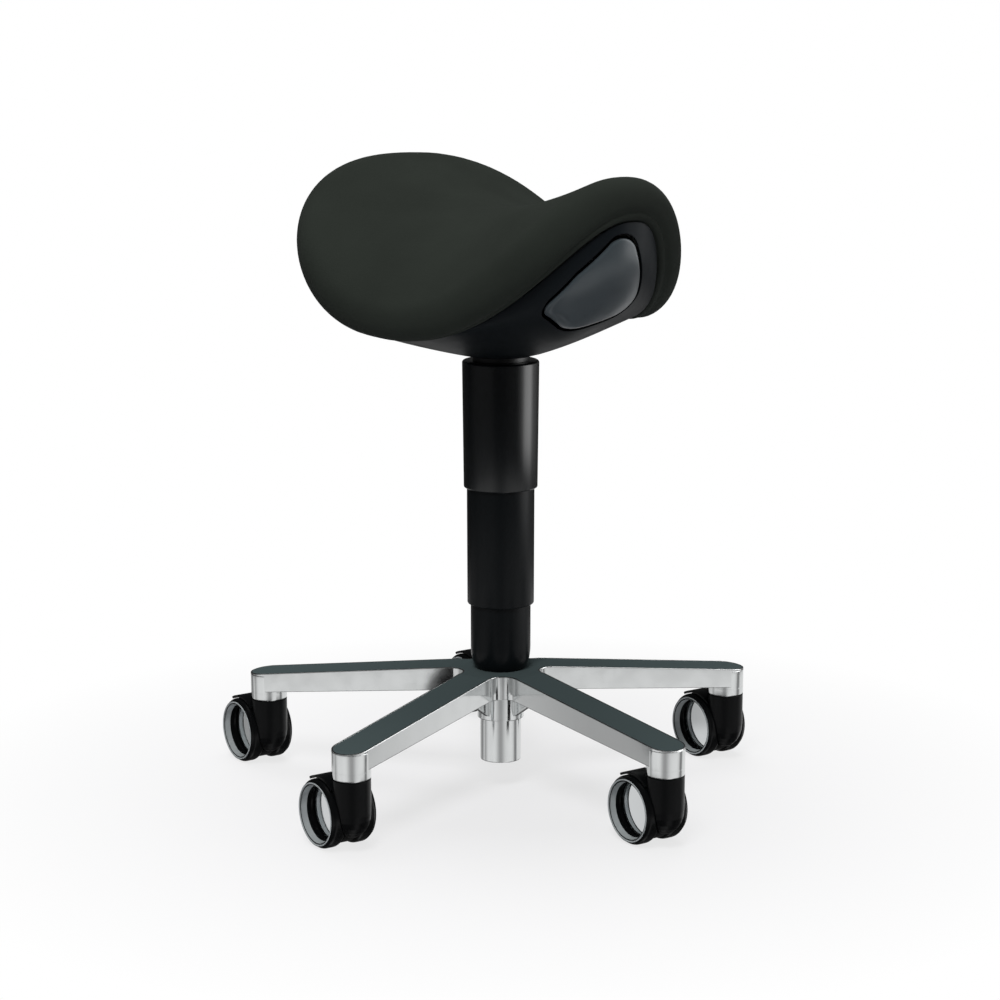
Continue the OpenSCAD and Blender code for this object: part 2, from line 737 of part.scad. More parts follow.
// Crank that presses the actuator bar down as the paddle is pulled
module paddle_crank() {
    translate([hinge_x, 0, 0]) {
        mirrored_x() translate([9, 0, 0]) x_prism(4, [
            [hinge_y - 5, hinge_z - 5], [hinge_y - 2, hinge_z + 5], [hinge_y + 5, hinge_z + 5],
            [crank_tip[0] + 2, crank_tip[1] + 5], [crank_tip[0] + 2, crank_tip[1] + 1],
            [crank_tip[0] - 2, crank_tip[1] + 1]
        ]);
        translate([0, crank_tip[0], crank_tip[1] + 2.5]) x_rod(2.5, 22);
    }
}
module lever_pivot() {
    color(polished) translate([0, hinge_y, hinge_z]) x_rod(hinge_r, 68);
}
module screw(head_r, head_h, shank_r, length) {
    translate([0, 0, -head_h]) difference() {
        cylinder(r = head_r, h = head_h);
        translate([0, 0, -past]) cylinder(r = shank_r * 0.8, h = head_h * 0.6 + past, $fn = 6);
    }
    cylinder(r = shank_r, h = length);
}
module pan_screws() {
    color(polished) at_corners(screw_at) translate([0, 0, plate_z]) screw(6.5, 4, 4, 24);
}
module shell_screws() {
    color(polished) at_corners(shell_screw_at) translate([0, 0, mate_z - 10])
        screw(2.4, 4, 2.4, 22);
}

// ---------- castor ----------

module castor_stem() {
    color(polished) difference() {
        translate([0, 0, castor_h - stem_in]) cylinder(d = stem_d, h = stem_in + stem_h);
        translate([0, 0, castor_h + stem_h - 5])
            tube(stem_d, stem_d / 2 - 0.8, 1.6);
    }
}
module castor_housing() {
    dome_z = wheel_r + 5;
    dome_h = 24;
    dome = [for (a = [0:15:75]) [housing_r * cos(a), dome_z - dome_h * sin(a)]];
    color(black) difference() {
        union() {
            rotate_extrude($fn = 48) polygon(concat(
                [[0, castor_h], [housing_r, castor_h]], dome, [[0, dome[5][1]]]));
            translate([0, castor_trail, wheel_r]) x_rod(wheel_r - 2.5, 2 * web_half);
            castor_hood();
        }
        for (side = [-1, 1]) translate([side * (web_half + 25), castor_trail, wheel_r])
            x_rod(wheel_r + wheel_play, 50);
        translate([0, castor_trail, wheel_r]) x_rod(axle_d / 2 + 0.02, 4 * web_half);
        translate([0, 0, castor_h - stem_in]) cylinder(r = stem_d / 2 + 0.02, h = stem_in + past);
    }
}
// Guard that arches over both wheels
module castor_hood() {
    half = wheel_out - 5;
    translate([0, castor_trail, wheel_r]) rotate([0, 90, 0]) rotate([0, 0, 150])
        rotate_extrude(angle = 68) translate([wheel_r - 6, -half])
            square([hood_r - wheel_r + 6, 2 * half]);
}
module castor_axle() {
    color(polished) translate([0, castor_trail, wheel_r])
        x_rod(axle_d / 2, 2 * (dish_floor - seat));
}
// One wheel with its inner face on the axle's middle plane at x = wheel_gap / 2
module castor_wheel() {
    s = shoulder_r;
    color(black) translate([0, castor_trail, wheel_r]) rotate([0, 90, 0])
        rotate_extrude($fn = 96) polygon(concat(
            [[axle_d / 2 + fit, wheel_gap / 2], [wheel_r - s, wheel_gap / 2]],
            [for (a = [15:15:90]) [wheel_r - s + s * sin(a), wheel_gap / 2 + s * (1 - cos(a))]],
            [for (a = [0:15:60]) [wheel_r - s + s * cos(a), wheel_out - s + s * sin(a)]],
            [[rim_lip_r + 0.2, wheel_out - 0.6], [rim_lip_r + 0.2, wheel_out - rim_depth],
                [dish_r, wheel_out - rim_depth], [dish_floor_r, dish_floor],
                [axle_d / 2 + fit, dish_floor]]
        ));
}
// Bright ring let into the mouth of the dish, and the cap that closes its floor
module castor_rim() {
    color("#dfe3e4") translate([0, castor_trail, wheel_r]) rotate([0, 90, 0]) {
        rotate_extrude($fn = 96) polygon([
            [dish_r, wheel_out - rim_depth], [rim_lip_r, wheel_out - rim_depth],
            [rim_lip_r, wheel_out - 0.2], [rim_lip_r - 0.3, wheel_out + 0.2],
            [dish_r + 0.3, wheel_out + 0.2], [dish_r, wheel_out - 0.2]
        ]);
        translate([0, 0, dish_floor])
            cylinder(r = dish_floor_r - 0.1, h = cap_t, $fn = 96);
    }
}
module castor_part(part) {
    if (part == "stem") castor_stem();
    if (part == "housing") castor_housing();
    if (part == "axle") castor_axle();
    if (part == "wheel_right") castor_wheel();
    if (part == "wheel_left") mirror([1, 0, 0]) castor_wheel();
    if (part == "rim_right") castor_rim();
    if (part == "rim_left") mirror([1, 0, 0]) castor_rim();
}

for (k = [1:arms]) for (part = castor_parts)
    rotate((k - 1) * arm_step - 90) translate([base_r, 0, 0])
            rotate(90 - (k - 1) * arm_step + castor_yaw) castor_part(part);

star_base();
star_inlay();
castor_sockets();
standpipe();
guide_bushing();
thrust_bearing();
end_bumper();
retaining_clip();
sleeve_lower();
sleeve_middle();
sleeve_upper();
piston_rod();
gas_cylinder();
release_pin();
seat_mechanism();
actuator_bar();
actuator_pivot();
seat_pan();
seat_shell();
seat_pad();
lever_paddle();
lever_pivot();
pan_screws();
shell_screws();
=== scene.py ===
"""Saddle stool: the finished pieces of the stool, built round its CAD model."""

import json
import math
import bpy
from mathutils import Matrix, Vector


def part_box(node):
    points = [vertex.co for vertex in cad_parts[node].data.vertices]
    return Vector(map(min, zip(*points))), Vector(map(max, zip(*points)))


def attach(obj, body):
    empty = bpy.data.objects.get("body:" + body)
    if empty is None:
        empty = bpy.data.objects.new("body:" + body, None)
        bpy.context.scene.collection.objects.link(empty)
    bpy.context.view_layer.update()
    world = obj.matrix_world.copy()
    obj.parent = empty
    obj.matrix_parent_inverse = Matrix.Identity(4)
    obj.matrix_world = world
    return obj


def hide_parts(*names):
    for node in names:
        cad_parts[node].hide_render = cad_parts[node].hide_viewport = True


bl_info = {
    "name": "Saddle Stool",
    "version": (1, 0, 0),
    "blender": (4, 5, 0),
    "location": "View3D > Sidebar > Stool",
    "description": "Builds an upholstered saddle stool on twin-wheel castors",
    "category": "Add Mesh",
}

import bmesh
import bpy
import numpy as np
from bpy.props import FloatProperty, IntProperty, PointerProperty, StringProperty
from bpy.types import Operator, Panel, PropertyGroup
from mathutils import Vector
from mathutils.bvhtree import BVHTree
from mathutils.kdtree import KDTree

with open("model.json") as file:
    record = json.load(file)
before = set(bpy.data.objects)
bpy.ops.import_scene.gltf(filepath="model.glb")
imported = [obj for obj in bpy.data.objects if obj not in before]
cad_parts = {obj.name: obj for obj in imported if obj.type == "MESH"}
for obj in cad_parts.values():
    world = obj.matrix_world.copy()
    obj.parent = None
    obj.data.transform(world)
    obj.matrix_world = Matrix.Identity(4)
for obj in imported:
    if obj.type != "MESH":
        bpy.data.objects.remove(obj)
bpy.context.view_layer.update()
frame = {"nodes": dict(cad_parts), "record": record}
NODES = frame["nodes"]
CASTORS = (1, 2, 3, 4, 5)
BODY_OF = {node: body for body, nodes in frame["record"]["behaviour"]["bodies"].items()
           for node in nodes}


def size(name, description, default, low=0.0, high=2.0):
    return FloatProperty(
        name=name, description=description, default=default, min=low, max=high,
        unit="LENGTH", precision=4)


def colour(name, description, default):
    return StringProperty(name=name, description=description, default=default)


# ---- sizes and colours


class SaddleSizes(PropertyGroup):
    """Sizes of the saddle, its shell and its paddle, in metres"""

    front: size("Front", "Half length from the column to the front", 0.1968)
    rear: size("Rear", "Half length from the column to the rear", 0.1811)
    half_width: size("Half width", "Half of the saddle's width", 0.1652)
    taper: FloatProperty(name="Taper", description="How much the front narrows", default=0.26)
    square: FloatProperty(
        name="Squareness", description="Outline exponent, 2 is an ellipse", default=2.3)
    rise_front: size("Front rise", "Rise of the front above the middle", 0.0389)
    rise_rear: size("Rear rise", "Rise of the rear above the middle", 0.0435)
    drop: size("Side drop", "Drop of the sides below the middle", 0.0691)
    roll: size("Roll", "Radius of the rolled edge, half of the pad's thickness", 0.0217)
    middle: size("Middle height", "Height of the pad's middle layer above the floor", 0.5498)
    neck_radius: size("Neck radius", "Radius of the shell's neck", 0.0295)
    neck_height: size("Neck height", "Height of the shell's neck above the floor", 0.4297)
    shell_wall: size("Shell wall", "Wall of the moulded shell", 0.003)
    swell: size("Swell", "How far the stuffing pushes the cover out", 0.0016)
    crease: size("Crease", "Depth of the seam line along the hem", 0.0015)
    hem: size("Hem", "Radius of the rolled hem at the shell's rim", 0.0042)
    hem_proud: size("Hem proud", "How far the hem stands proud of the roll", 0.0008)
    paddle_gap: size("Paddle gap", "Gap round the height paddle", 0.0026)
    paddle_proud: size("Paddle proud", "How far the paddle stands proud of the shell", 0.001)
    head_gap: size("Head gap", "Added gap above the paddle", 0.0018)


class CastorSizes(PropertyGroup):
    """Sizes of the castors, in metres"""

    radius: size("Wheel radius", "Radius of a wheel", 0.0325)
    gap: size("Wheel gap", "Half of the gap between the two wheels", 0.007)
    width: size("Wheel width", "Width of one wheel", 0.017)
    dish: size("Dish depth", "Depth of the open dish", 0.0125)
    circle: size("Castor circle", "Radius of the circle that the stems stand on", 0.244)
    trail: size("Trail", "Distance from the stem's axis back to the axle", 0.0262)
    socket: size("Socket radius", "Radius of the barrel at an arm's end", 0.0181)
    barrel: size("Barrel", "Height of the plain barrel at an arm's end", 0.0258)
    yaw: FloatProperty(
        name="Yaw", description="Angle that the castors have trailed round to, in degrees",
        default=-4.1)


class ColumnSizes(PropertyGroup):
    """Sizes of the three sleeves of the column, in metres"""

    upper: size("Upper radius", "Outer radius of the upper sleeve", 0.0372)
    middle: size("Middle radius", "Outer radius of the middle sleeve", 0.0329)
    lower: size("Lower radius", "Outer radius of the lower sleeve", 0.0293)


class Finishes(PropertyGroup):
    """Colours of the finishes, as sRGB hex values"""

    upholstery: colour("Upholstery", "Stretch knit cover", "#292D29")
    shell: colour("Shell", "Moulded polypropylene shell", "#15191C")
    paddle: colour("Paddle", "Satin graphite paddle", "#3E464A")
    aluminium: colour("Aluminium", "Polished die casting", "#D9DBDB")
    slate: colour("Slate", "Slate coating on the star", "#4A5556")
    sleeve: colour("Sleeves", "Satin black sleeves", "#0E1113")
    nylon: colour("Nylon", "Black castor nylon", "#0B0C0D")
    chrome: colour("Chrome", "Bright plating", "#E4E7E8")
    # the rings' pale grey is a painted reflection, in place of plating
    ring: colour("Ring", "Silver lacquer of the castors' rings", "#A9AFB0")


def setting(group):
    return getattr(bpy.context.scene, "stool_" + group)


# ---- small tools


def linear(code):
    """Linear RGBA of an sRGB hex value."""
    parts = [int(code[i:i + 2], 16) / 255 for i in (1, 3, 5)]
    return tuple(c / 12.92 if c < 0.04045 else ((c + 0.055) / 1.055) ** 2.4 for c in parts) + (1.0,)


def add(tree, kind, settings=None, inputs=None):
    """Add a node, set its properties and set or link its inputs."""
    node = tree.nodes.new(kind)
    for key, value in (settings or {}).items():
        setattr(node, key, value)
    for key, value in (inputs or {}).items():
        if isinstance(value, bpy.types.NodeSocket):
            tree.links.new(value, node.inputs[key])
        else:
            node.inputs[key].default_value = value
    return node


def ramp(tree, factor, low, high):
    """Colour ramp between two stops, each a position and a grey or a colour."""
    node = add(tree, "ShaderNodeValToRGB", None, {"Fac": factor})
    for stop, (place, value) in zip(node.color_ramp.elements, (low, high)):
        stop.position = place
        stop.color = value if isinstance(value, tuple) else (value, value, value, 1)
    return node.outputs["Color"]


def material(name, shader_inputs):
    """New material with its Principled shader; returns the material, its tree and the shader."""
    mat = bpy.data.materials.new(name)
    mat.use_nodes = True
    tree = mat.node_tree
    shader = tree.nodes["Principled BSDF"]
    for key, value in shader_inputs.items():
        shader.inputs[key].default_value = value
    return mat, tree, shader


def object_mesh(name, verts, faces, mat=None, smooth=True):
    mesh = bpy.data.meshes.new(name)
    mesh.from_pydata([tuple(v) for v in verts], [], [tuple(f) for f in faces])
    mesh.validate()
    obj = bpy.data.objects.new(name, mesh)
    bpy.context.scene.collection.objects.link(obj)
    if smooth:
        mesh.shade_smooth()
    if mat:
        mesh.materials.append(mat)
    return obj


def join(obj, *others):
    """Add the meshes of other objects to the first one's and drop those objects."""
    bm = bmesh.new()
    bm.from_mesh(obj.data)
    for part in others:
        first = len(bm.faces)
        bm.from_mesh(part.data)
        bm.faces.ensure_lookup_table()
        obj.data.materials.append(part.data.materials[0])
        for face in bm.faces[first:]:
            face.material_index = len(obj.data.materials) - 1
    bm.to_mesh(obj.data)
    bm.free()
    for part in others:
        bpy.data.objects.remove(part)


def ring_faces(count, around, wrap=False):
    """Quads between stacked rings of equal length."""
    faces = []
    for j in range(count if wrap else count - 1):
        a, b = j * around, ((j + 1) % count) * around
        for i in range(around):
            n = (i + 1) % around
            faces.append((a + i, a + n, b + n, b + i))
    return faces


def closed_skin(rings, first, last):
    """Skin over stacked rings of points, closed by a fan to a point at each end."""
    around, end = len(rings[0]), len(rings) * len(rings[0])
    faces = ring_faces(len(rings), around)
    for i in range(around):
        n = (i + 1) % around
        faces.append((end, n, i))
        faces.append((end + 1, end - around + i, end - around + n))
    return np.vstack([*rings, first, last]), faces


def apply_modifiers(obj):
    """Turn the evaluated object into its plain mesh and drop the modifiers."""
    graph = bpy.context.evaluated_depsgraph_get()
    mesh = bpy.data.meshes.new_from_object(obj.evaluated_get(graph))
    obj.modifiers.clear()
    old = obj.data
    obj.data = mesh
    bpy.data.meshes.remove(old)
    return obj


def outward(obj):
    """Turn all faces of a closed mesh outward."""
    bm = bmesh.new()
    bm.from_mesh(obj.data)
    bmesh.ops.recalc_face_normals(bm, faces=bm.faces)
    bm.to_mesh(obj.data)
    bm.free()
    return obj


# ---- geometry nodes


def node_group(name, sockets):
    """New geometry node group with named inputs; returns it and its input node's outputs."""
    group = bpy.data.node_groups.new(name, "GeometryNodeTree")
    group.interface.new_socket("Geometry", in_out="OUTPUT", socket_type="NodeSocketGeometry")
    group.interface.new_socket("Geometry", in_out="INPUT", socket_type="NodeSocketGeometry")
    for label, kind in sockets:
        group.interface.new_socket(label, in_out="INPUT", socket_type="NodeSocket" + kind)
    return group, add(group, "NodeGroupInput").outputs


def close_group(group, geometry, mat):
    """End a group in realised instances that carry the material."""
    real = add(group, "GeometryNodeRealizeInstances", None, {"Geometry": geometry})
    painted = add(group, "GeometryNodeSetMaterial", None, {
        "Geometry": real.outputs["Geometry"], "Material": mat})
    add(group, "NodeGroupOutput", None, {"Geometry": painted.outputs["Geometry"]})
    return group


def revolve_group():
    """Turns a profile, X out from the axis and Y along it, round Z and places the solid."""
    group, given = node_group("revolve", (
        ("Segments", "Int"), ("Centre", "Vector"), ("Turn", "Vector"), ("Material", "Material")))
    profile = add(group, "GeometryNodeMeshToCurve", None, {"Mesh": given["Geometry"]})
    path = add(group, "GeometryNodeCurvePrimitiveCircle", {"mode": "RADIUS"}, {
        "Resolution": given["Segments"], "Radius": AXIS_R})
    upright = add(group, "GeometryNodeSetCurveNormal", {"mode": "Z_UP"}, {
        "Curve": path.outputs["Curve"]})
    swept = add(group, "GeometryNodeCurveToMesh", None, {
        "Curve": upright.outputs["Curve"], "Profile Curve": profile.outputs["Curve"]})
    closed = add(group, "GeometryNodeMergeByDistance", None, {
        "Geometry": swept.outputs["Mesh"], "Distance": AXIS_R * 0.5})
    turn = add(group, "FunctionNodeEulerToRotation", None, {"Euler": given["Turn"]})
    placed = add(group, "GeometryNodeTransform", None, {
        "Geometry": closed.outputs["Geometry"], "Translation": given["Centre"],
        "Rotation": turn.outputs["Rotation"]})
    return close_group(group, placed.outputs["Geometry"], given["Material"])


def sweep_group():
    """Runs a round bead along a closed path."""
    group, given = node_group("sweep", (
        ("Radius", "Float"), ("Sides", "Int"), ("Material", "Material")))
    path = add(group, "GeometryNodeMeshToCurve", None, {"Mesh": given["Geometry"]})
    ring = add(group, "GeometryNodeCurvePrimitiveCircle", {"mode": "RADIUS"}, {
        "Resolution": given["Sides"], "Radius": given["Radius"]})
    bead = add(group, "GeometryNodeCurveToMesh", None, {
        "Curve": path.outputs["Curve"], "Profile Curve": ring.outputs["Curve"]})
    return close_group(group, bead.outputs["Mesh"], given["Material"])


def spread_group():
    """Sets copies of a solid on a circle round Z, turned by an angle."""
    group, given = node_group("spread", (
        ("Count", "Int"), ("Circle", "Float"), ("Turn", "Vector"), ("Material", "Material")))
    circle = add(group, "GeometryNodeMeshCircle", None, {
        "Vertices": given["Count"], "Radius": given["Circle"]})
    spots = add(group, "GeometryNodeInstanceOnPoints", None, {
        "Points": circle.outputs["Mesh"], "Instance": given["Geometry"]})
    turn = add(group, "FunctionNodeEulerToRotation", None, {"Euler": given["Turn"]})
    placed = add(group, "GeometryNodeTransform", None, {
        "Geometry": spots.outputs["Instances"], "Rotation": turn.outputs["Rotation"]})
    return close_group(group, placed.outputs["Geometry"], given["Material"])


AXIS_R = 1e-5
GROUP_MAKERS = {"revolve": revolve_group, "sweep": sweep_group, "spread": spread_group}


def grow_nodes(obj, group_name, values, sharp=30):
    """Run a node group on an object and keep the result as its plain mesh."""
    group = bpy.data.node_groups.get(group_name) or GROUP_MAKERS[group_name]()
    modifier = obj.modifiers.new(group_name, "NODES")
    modifier.node_group = group
    for item in group.interface.items_tree:
        if item.in_out == "INPUT" and item.name in values:
            modifier[item.identifier] = values[item.name]
    apply_modifiers(obj)
    obj.data.shade_smooth()
    obj.data.set_sharp_from_angle(angle=math.radians(sharp))
    return outward(obj)


def line_object(name, points, closed):
    """Object whose mesh is one polyline."""
    count = len(points)
    mesh = bpy.data.meshes.new(name)
    mesh.from_pydata([tuple(p) for p in points],
                     [(i, (i + 1) % count) for i in range(count if closed else count - 1)], [])
    obj = bpy.data.objects.new(name, mesh)
    bpy.context.scene.collection.objects.link(obj)
    return obj


def turned(name, profile, mat, centre=(0, 0, 0), turn=(0, 0, 0), closed=True, segments=128):
    """Solid of revolution from a profile of (radius, height) in metres."""
    obj = line_object(name, [(r, -z, 0) for r, z in profile], closed)
    return grow_nodes(obj, "revolve", {
        "Segments": segments, "Centre": tuple(centre), "Turn": tuple(turn), "Material": mat})


def rounded(points, radii, steps=4):
    """Closed profile with its corners rounded by the given radii."""
    out = []
    count = len(points)
    pts = [np.array(p, float) for p in points]
    for i, (p, r) in enumerate(zip(pts, radii)):
        if not r:
            out.append(tuple(p))
            continue
        u, v = unit(pts[i - 1] - p), unit(pts[(i + 1) % count] - p)
        half = math.acos(max(-1, min(1, float(u @ v)))) / 2
        reach = r / math.tan(half)
        centre = p + unit(u + v) * r / math.sin(half)
        first, last = p + u * reach - centre, p + v * reach - centre
        sweep = math.pi - 2 * half
        for t in np.linspace(0, 1, steps + 1):
            way = math.sin((1 - t) * sweep) * first + math.sin(t * sweep) * last
            out.append(tuple(centre + way / math.sin(sweep)))
    return out


# ---- saddle surfaces


def bearings(count):
    """Angles round the saddle, just off the axes."""
    return np.linspace(0, 2 * np.pi, count, endpoint=False) + 1e-4


def spow(x, p):
    """Power of a number's size that keeps its sign."""
    return np.sign(x) * np.abs(x) ** p


def unit(v):
    return v / np.linalg.norm(v, axis=-1, keepdims=True)


class Saddle:
    """The saddle's middle layer, its rolled edge and the shell under it."""

    # the outline's middle stands this far behind the column
    shift = 0.0022
    # third and fourth cosine terms of the rise round the saddle
    wave_3, wave_4 = 0.0064, -0.00145
    # how steeply the middle layer curls up towards its ends and down at its sides
    curl_along, curl_across = 1.65, 2.0
    # the shell's rim: its place round the rolled edge, its gap, how it thins and slopes
    turn, clearance, rim_thin, rim_slope = math.radians(160), 0.0015, 0.6, 0.6
    # the shell's keel along and across, how it runs out, and the exponent of its section
    keel_along, keel_across, keel_run, section = 0.0553, 0.0276, 1.13, 3.06

    def __init__(self, s):
        self.s = s
        rise = (s.rise_front + s.rise_rear) / 2
        self.wave = [
            (rise - s.drop) / 2 - self.wave_4,
            (s.rise_front - s.rise_rear) / 2 - self.wave_3,
            (rise + s.drop) / 2,
            self.wave_3,
            self.wave_4,
        ]

    def sheet(self, a, k):
        """Point of the middle layer at an angle, 0 at the front, and a share of the way out."""
        s = self.s
        c, d = spow(np.cos(a), 2 / s.square), spow(np.sin(a), 2 / s.square)
        reach = np.where(np.cos(a) > 0, s.front + self.shift, s.rear - self.shift) - s.roll
        rise = sum(w * np.cos(n * a) for n, w in enumerate(self.wave))
        curl = self.curl_along * np.cos(a) ** 2 + self.curl_across * np.sin(a) ** 2
        return np.stack([
            (s.half_width - s.roll) * d * k * (1 - s.taper * c * k),
            self.shift - reach * c * k,
            s.middle + rise * np.abs(k) ** curl,
        ], -1)

    def normal(self, a, k):
        along = self.sheet(a, k + 0.002) - self.sheet(a, k - 0.002)
        across = self.sheet(a + 0.003, k) - self.sheet(a - 0.003, k)
        n = unit(np.cross(along, across))
        return n * np.sign(n[..., 2:])

    def edge(self, a):
        """Rim point with its normal and its outward direction."""
        k = np.full_like(a, 0.985)
        n = self.normal(a, k)
        d = self.sheet(a, np.ones_like(a)) - self.sheet(a, np.full_like(a, 0.97))
        d = unit(d - (d * n).sum(-1, keepdims=True) * n)
        return self.sheet(a, np.ones_like(a)), n, d

    def roll(self, a, turn, r):
        p, n, d = self.edge(a)
        return p + r * (math.cos(turn) * n + math.sin(turn) * d)

    def shell(self, a, f, inset):
        """Point of the shell's wall at an angle, a share from neck to rim and a depth."""
        s = self.s
        b = self.roll(a, self.turn, s.roll + self.clearance)
        reach = np.hypot(b[..., 0], b[..., 1])
        way = b[..., :2] / reach[..., None]
        keel = self.keel_along * way[..., 1] ** 2 + self.keel_across * way[..., 0] ** 2

        def profile(g):
            q = np.sin(np.pi / 2 * g) ** (2 / self.section)
            h = 1 - np.cos(np.pi / 2 * g) ** (2 / self.section)
            r = s.neck_radius + (reach - s.neck_radius) * q
            z = s.neck_height + keel * q ** self.keel_run
            z = z + (b[..., 2] - s.neck_height - keel) * h
            return np.stack([r, z], -1)

        p = profile(f)
        t = unit(profile(np.minimum(f + 0.004, 1)) - profile(np.maximum(f - 0.004, 0)))
        depth = np.where(inset > 0, inset * (1 - self.rim_thin * f ** 5), inset)[..., None]
        p = p + depth * np.stack([-t[..., 1], t[..., 0]], -1)
        p[..., 1] -= np.where(f < 1, 0, self.rim_slope * np.maximum(depth[..., 0], 0))
        return np.stack([way[..., 0] * p[..., 0], way[..., 1] * p[..., 0], p[..., 1]], -1)

    def front_depth(self, x, z):
        """Y of the shell's front at points given across and up."""
        a = np.arctan2(x, np.full_like(x, 0.17))
        f = np.full_like(x, 0.7)
        step = 1e-4
        for _ in range(30):
            p = self.shell(a, f, 0.0)
            da = (self.shell(a + step, f, 0.0) - p) / step
            df = (self.shell(a, f + step, 0.0) - p) / step
            ex, ez = x - p[..., 0], z - p[..., 2]
            det = da[..., 0] * df[..., 2] - df[..., 0] * da[..., 2]
            a = a + np.clip((ex * df[..., 2] - df[..., 0] * ez) / det, -0.1, 0.1)
            move = np.clip((da[..., 0] * ez - ex * da[..., 2]) / det, -0.1, 0.1)
            f = np.clip(f + move, 0.02, 0.985)
        return self.shell(a, f, 0.0)[..., 1]


# discs whose hull is the paddle's outline from the front: across, up from its foot, radius
PADDLE_DISCS = ((-0.0087, 0.0695, 0.0161), (0.0155, 0.0237, 0.0151),
                (-0.0166, 0.0329, 0.034), (-0.0489, 0.024, 0.0106))
PADDLE_FOOT = 0.0413


def paddle_outline(grow, neck, count=160, lift=0.0):
    """Outline of the paddle from the front, as points across and up."""
    discs = np.array(PADDLE_DISCS)
    discs[:, 1] += neck + PADDLE_FOOT
    if lift:
        discs = np.vstack([discs, discs + [0, lift, 0]])
    ways = np.linspace(0, 2 * np.pi, 2880, endpoint=False)
    n = np.stack([np.cos(ways), np.sin(ways)], -1)
    best = np.argmax(n @ discs[:, :2].T + discs[:, 2], axis=1)
    pts = discs[best, :2] + (discs[best, 2:] + grow) * n
    gaps = np.linalg.norm(np.roll(pts, -1, 0) - pts, axis=1)
    run = np.concatenate([[0], np.cumsum(gaps)])
    marks = np.linspace(0, run[-1], count, endpoint=False)
    closed = np.vstack([pts, pts[:1]])
    return np.stack([np.interp(marks, run, closed[:, i]) for i in (0, 1)], -1)


# ---- materials


def emboss(tree, shader, height, strength, distance, edge=0.0, samples=4):
    """Bump from a height, over edges that are softened by a radius."""
    bump = add(tree, "ShaderNodeBump", None, {
        "Height": height, "Strength": strength, "Distance": distance})
    if edge:
        soft = add(tree, "ShaderNodeBevel", {"samples": samples}, {"Radius": edge})
        tree.links.new(soft.outputs["Normal"], bump.inputs["Normal"])
    tree.links.new(bump.outputs["Normal"], shader.inputs["Normal"])


def stretch_knit(f):
    """Stretch knit over moulded foam: no gloss, a soft sheen at grazing angles."""
    mat, tree, shader = material("stretch_knit", {
        "Roughness": 0.9, "Specular IOR Level": 0.04, "Sheen Weight": 0.01, "Sheen Roughness": 0.5})
    place = add(tree, "ShaderNodeTexCoord").outputs["Object"]
    base = linear(f.upholstery)
    # broad shade changes, about 90 mm across, as a stretched cover has
    broad = add(tree, "ShaderNodeTexNoise", None, {"Vector": place, "Scale": 11.0, "Detail": 2.0})
    tint = ramp(tree, broad.outputs["Fac"], (0.3, tuple(c * 0.9 for c in base[:3]) + (1,)),
                (0.7, tuple(min(1, c * 1.1) for c in base[:3]) + (1,)))
    tree.links.new(tint, shader.inputs["Base Color"])
    # knit stitches of 1.6 mm, drawn at 2 mm so that they show
    stitch = add(tree, "ShaderNodeTexVoronoi", None, {"Vector": place, "Scale": 500.0})
    emboss(tree, shader, stitch.outputs["Distance"], 0.12, 0.0006)
    return mat


def moulded(name, code, rough, grain, strength, edge=0.0, gloss=0.5):
    """Injection moulding: fine spark-eroded grain, soft edges."""
    mat, tree, shader = material(name, {"Base Color": linear(code), "Specular IOR Level": gloss})
    place = add(tree, "ShaderNodeTexCoord").outputs["Object"]
    noise = add(tree, "ShaderNodeTexNoise", None, {"Vector": place, "Scale": grain, "Detail": 3.0})
    emboss(tree, shader, noise.outputs["Fac"], strength, 0.0003, edge)
    wear = add(tree, "ShaderNodeTexNoise", None, {"Vector": place, "Scale": 35.0, "Detail": 4.0})
    worn = ramp(tree, wear.outputs["Fac"], (0.3, rough * 0.92), (0.7, min(1, rough * 1.08)))
    tree.links.new(worn, shader.inputs["Roughness"])
    return mat


def metal(name, code, rough, grain, strength, edge=0.0):
    """Bare or plated metal with faint polishing marks."""
    mat, tree, shader = material(name, {
        "Base Color": linear(code), "Metallic": 1.0, "Roughness": rough})
    place = add(tree, "ShaderNodeTexCoord").outputs["Object"]
    noise = add(tree, "ShaderNodeTexNoise", None, {"Vector": place, "Scale": grain, "Detail": 4.0})
    emboss(tree, shader, noise.outputs["Fac"], strength, 0.0002, edge, 6)
    marks = ramp(tree, noise.outputs["Fac"], (0.35, rough * 0.85), (0.65, rough * 1.2))
    tree.links.new(marks, shader.inputs["Roughness"])
    return mat


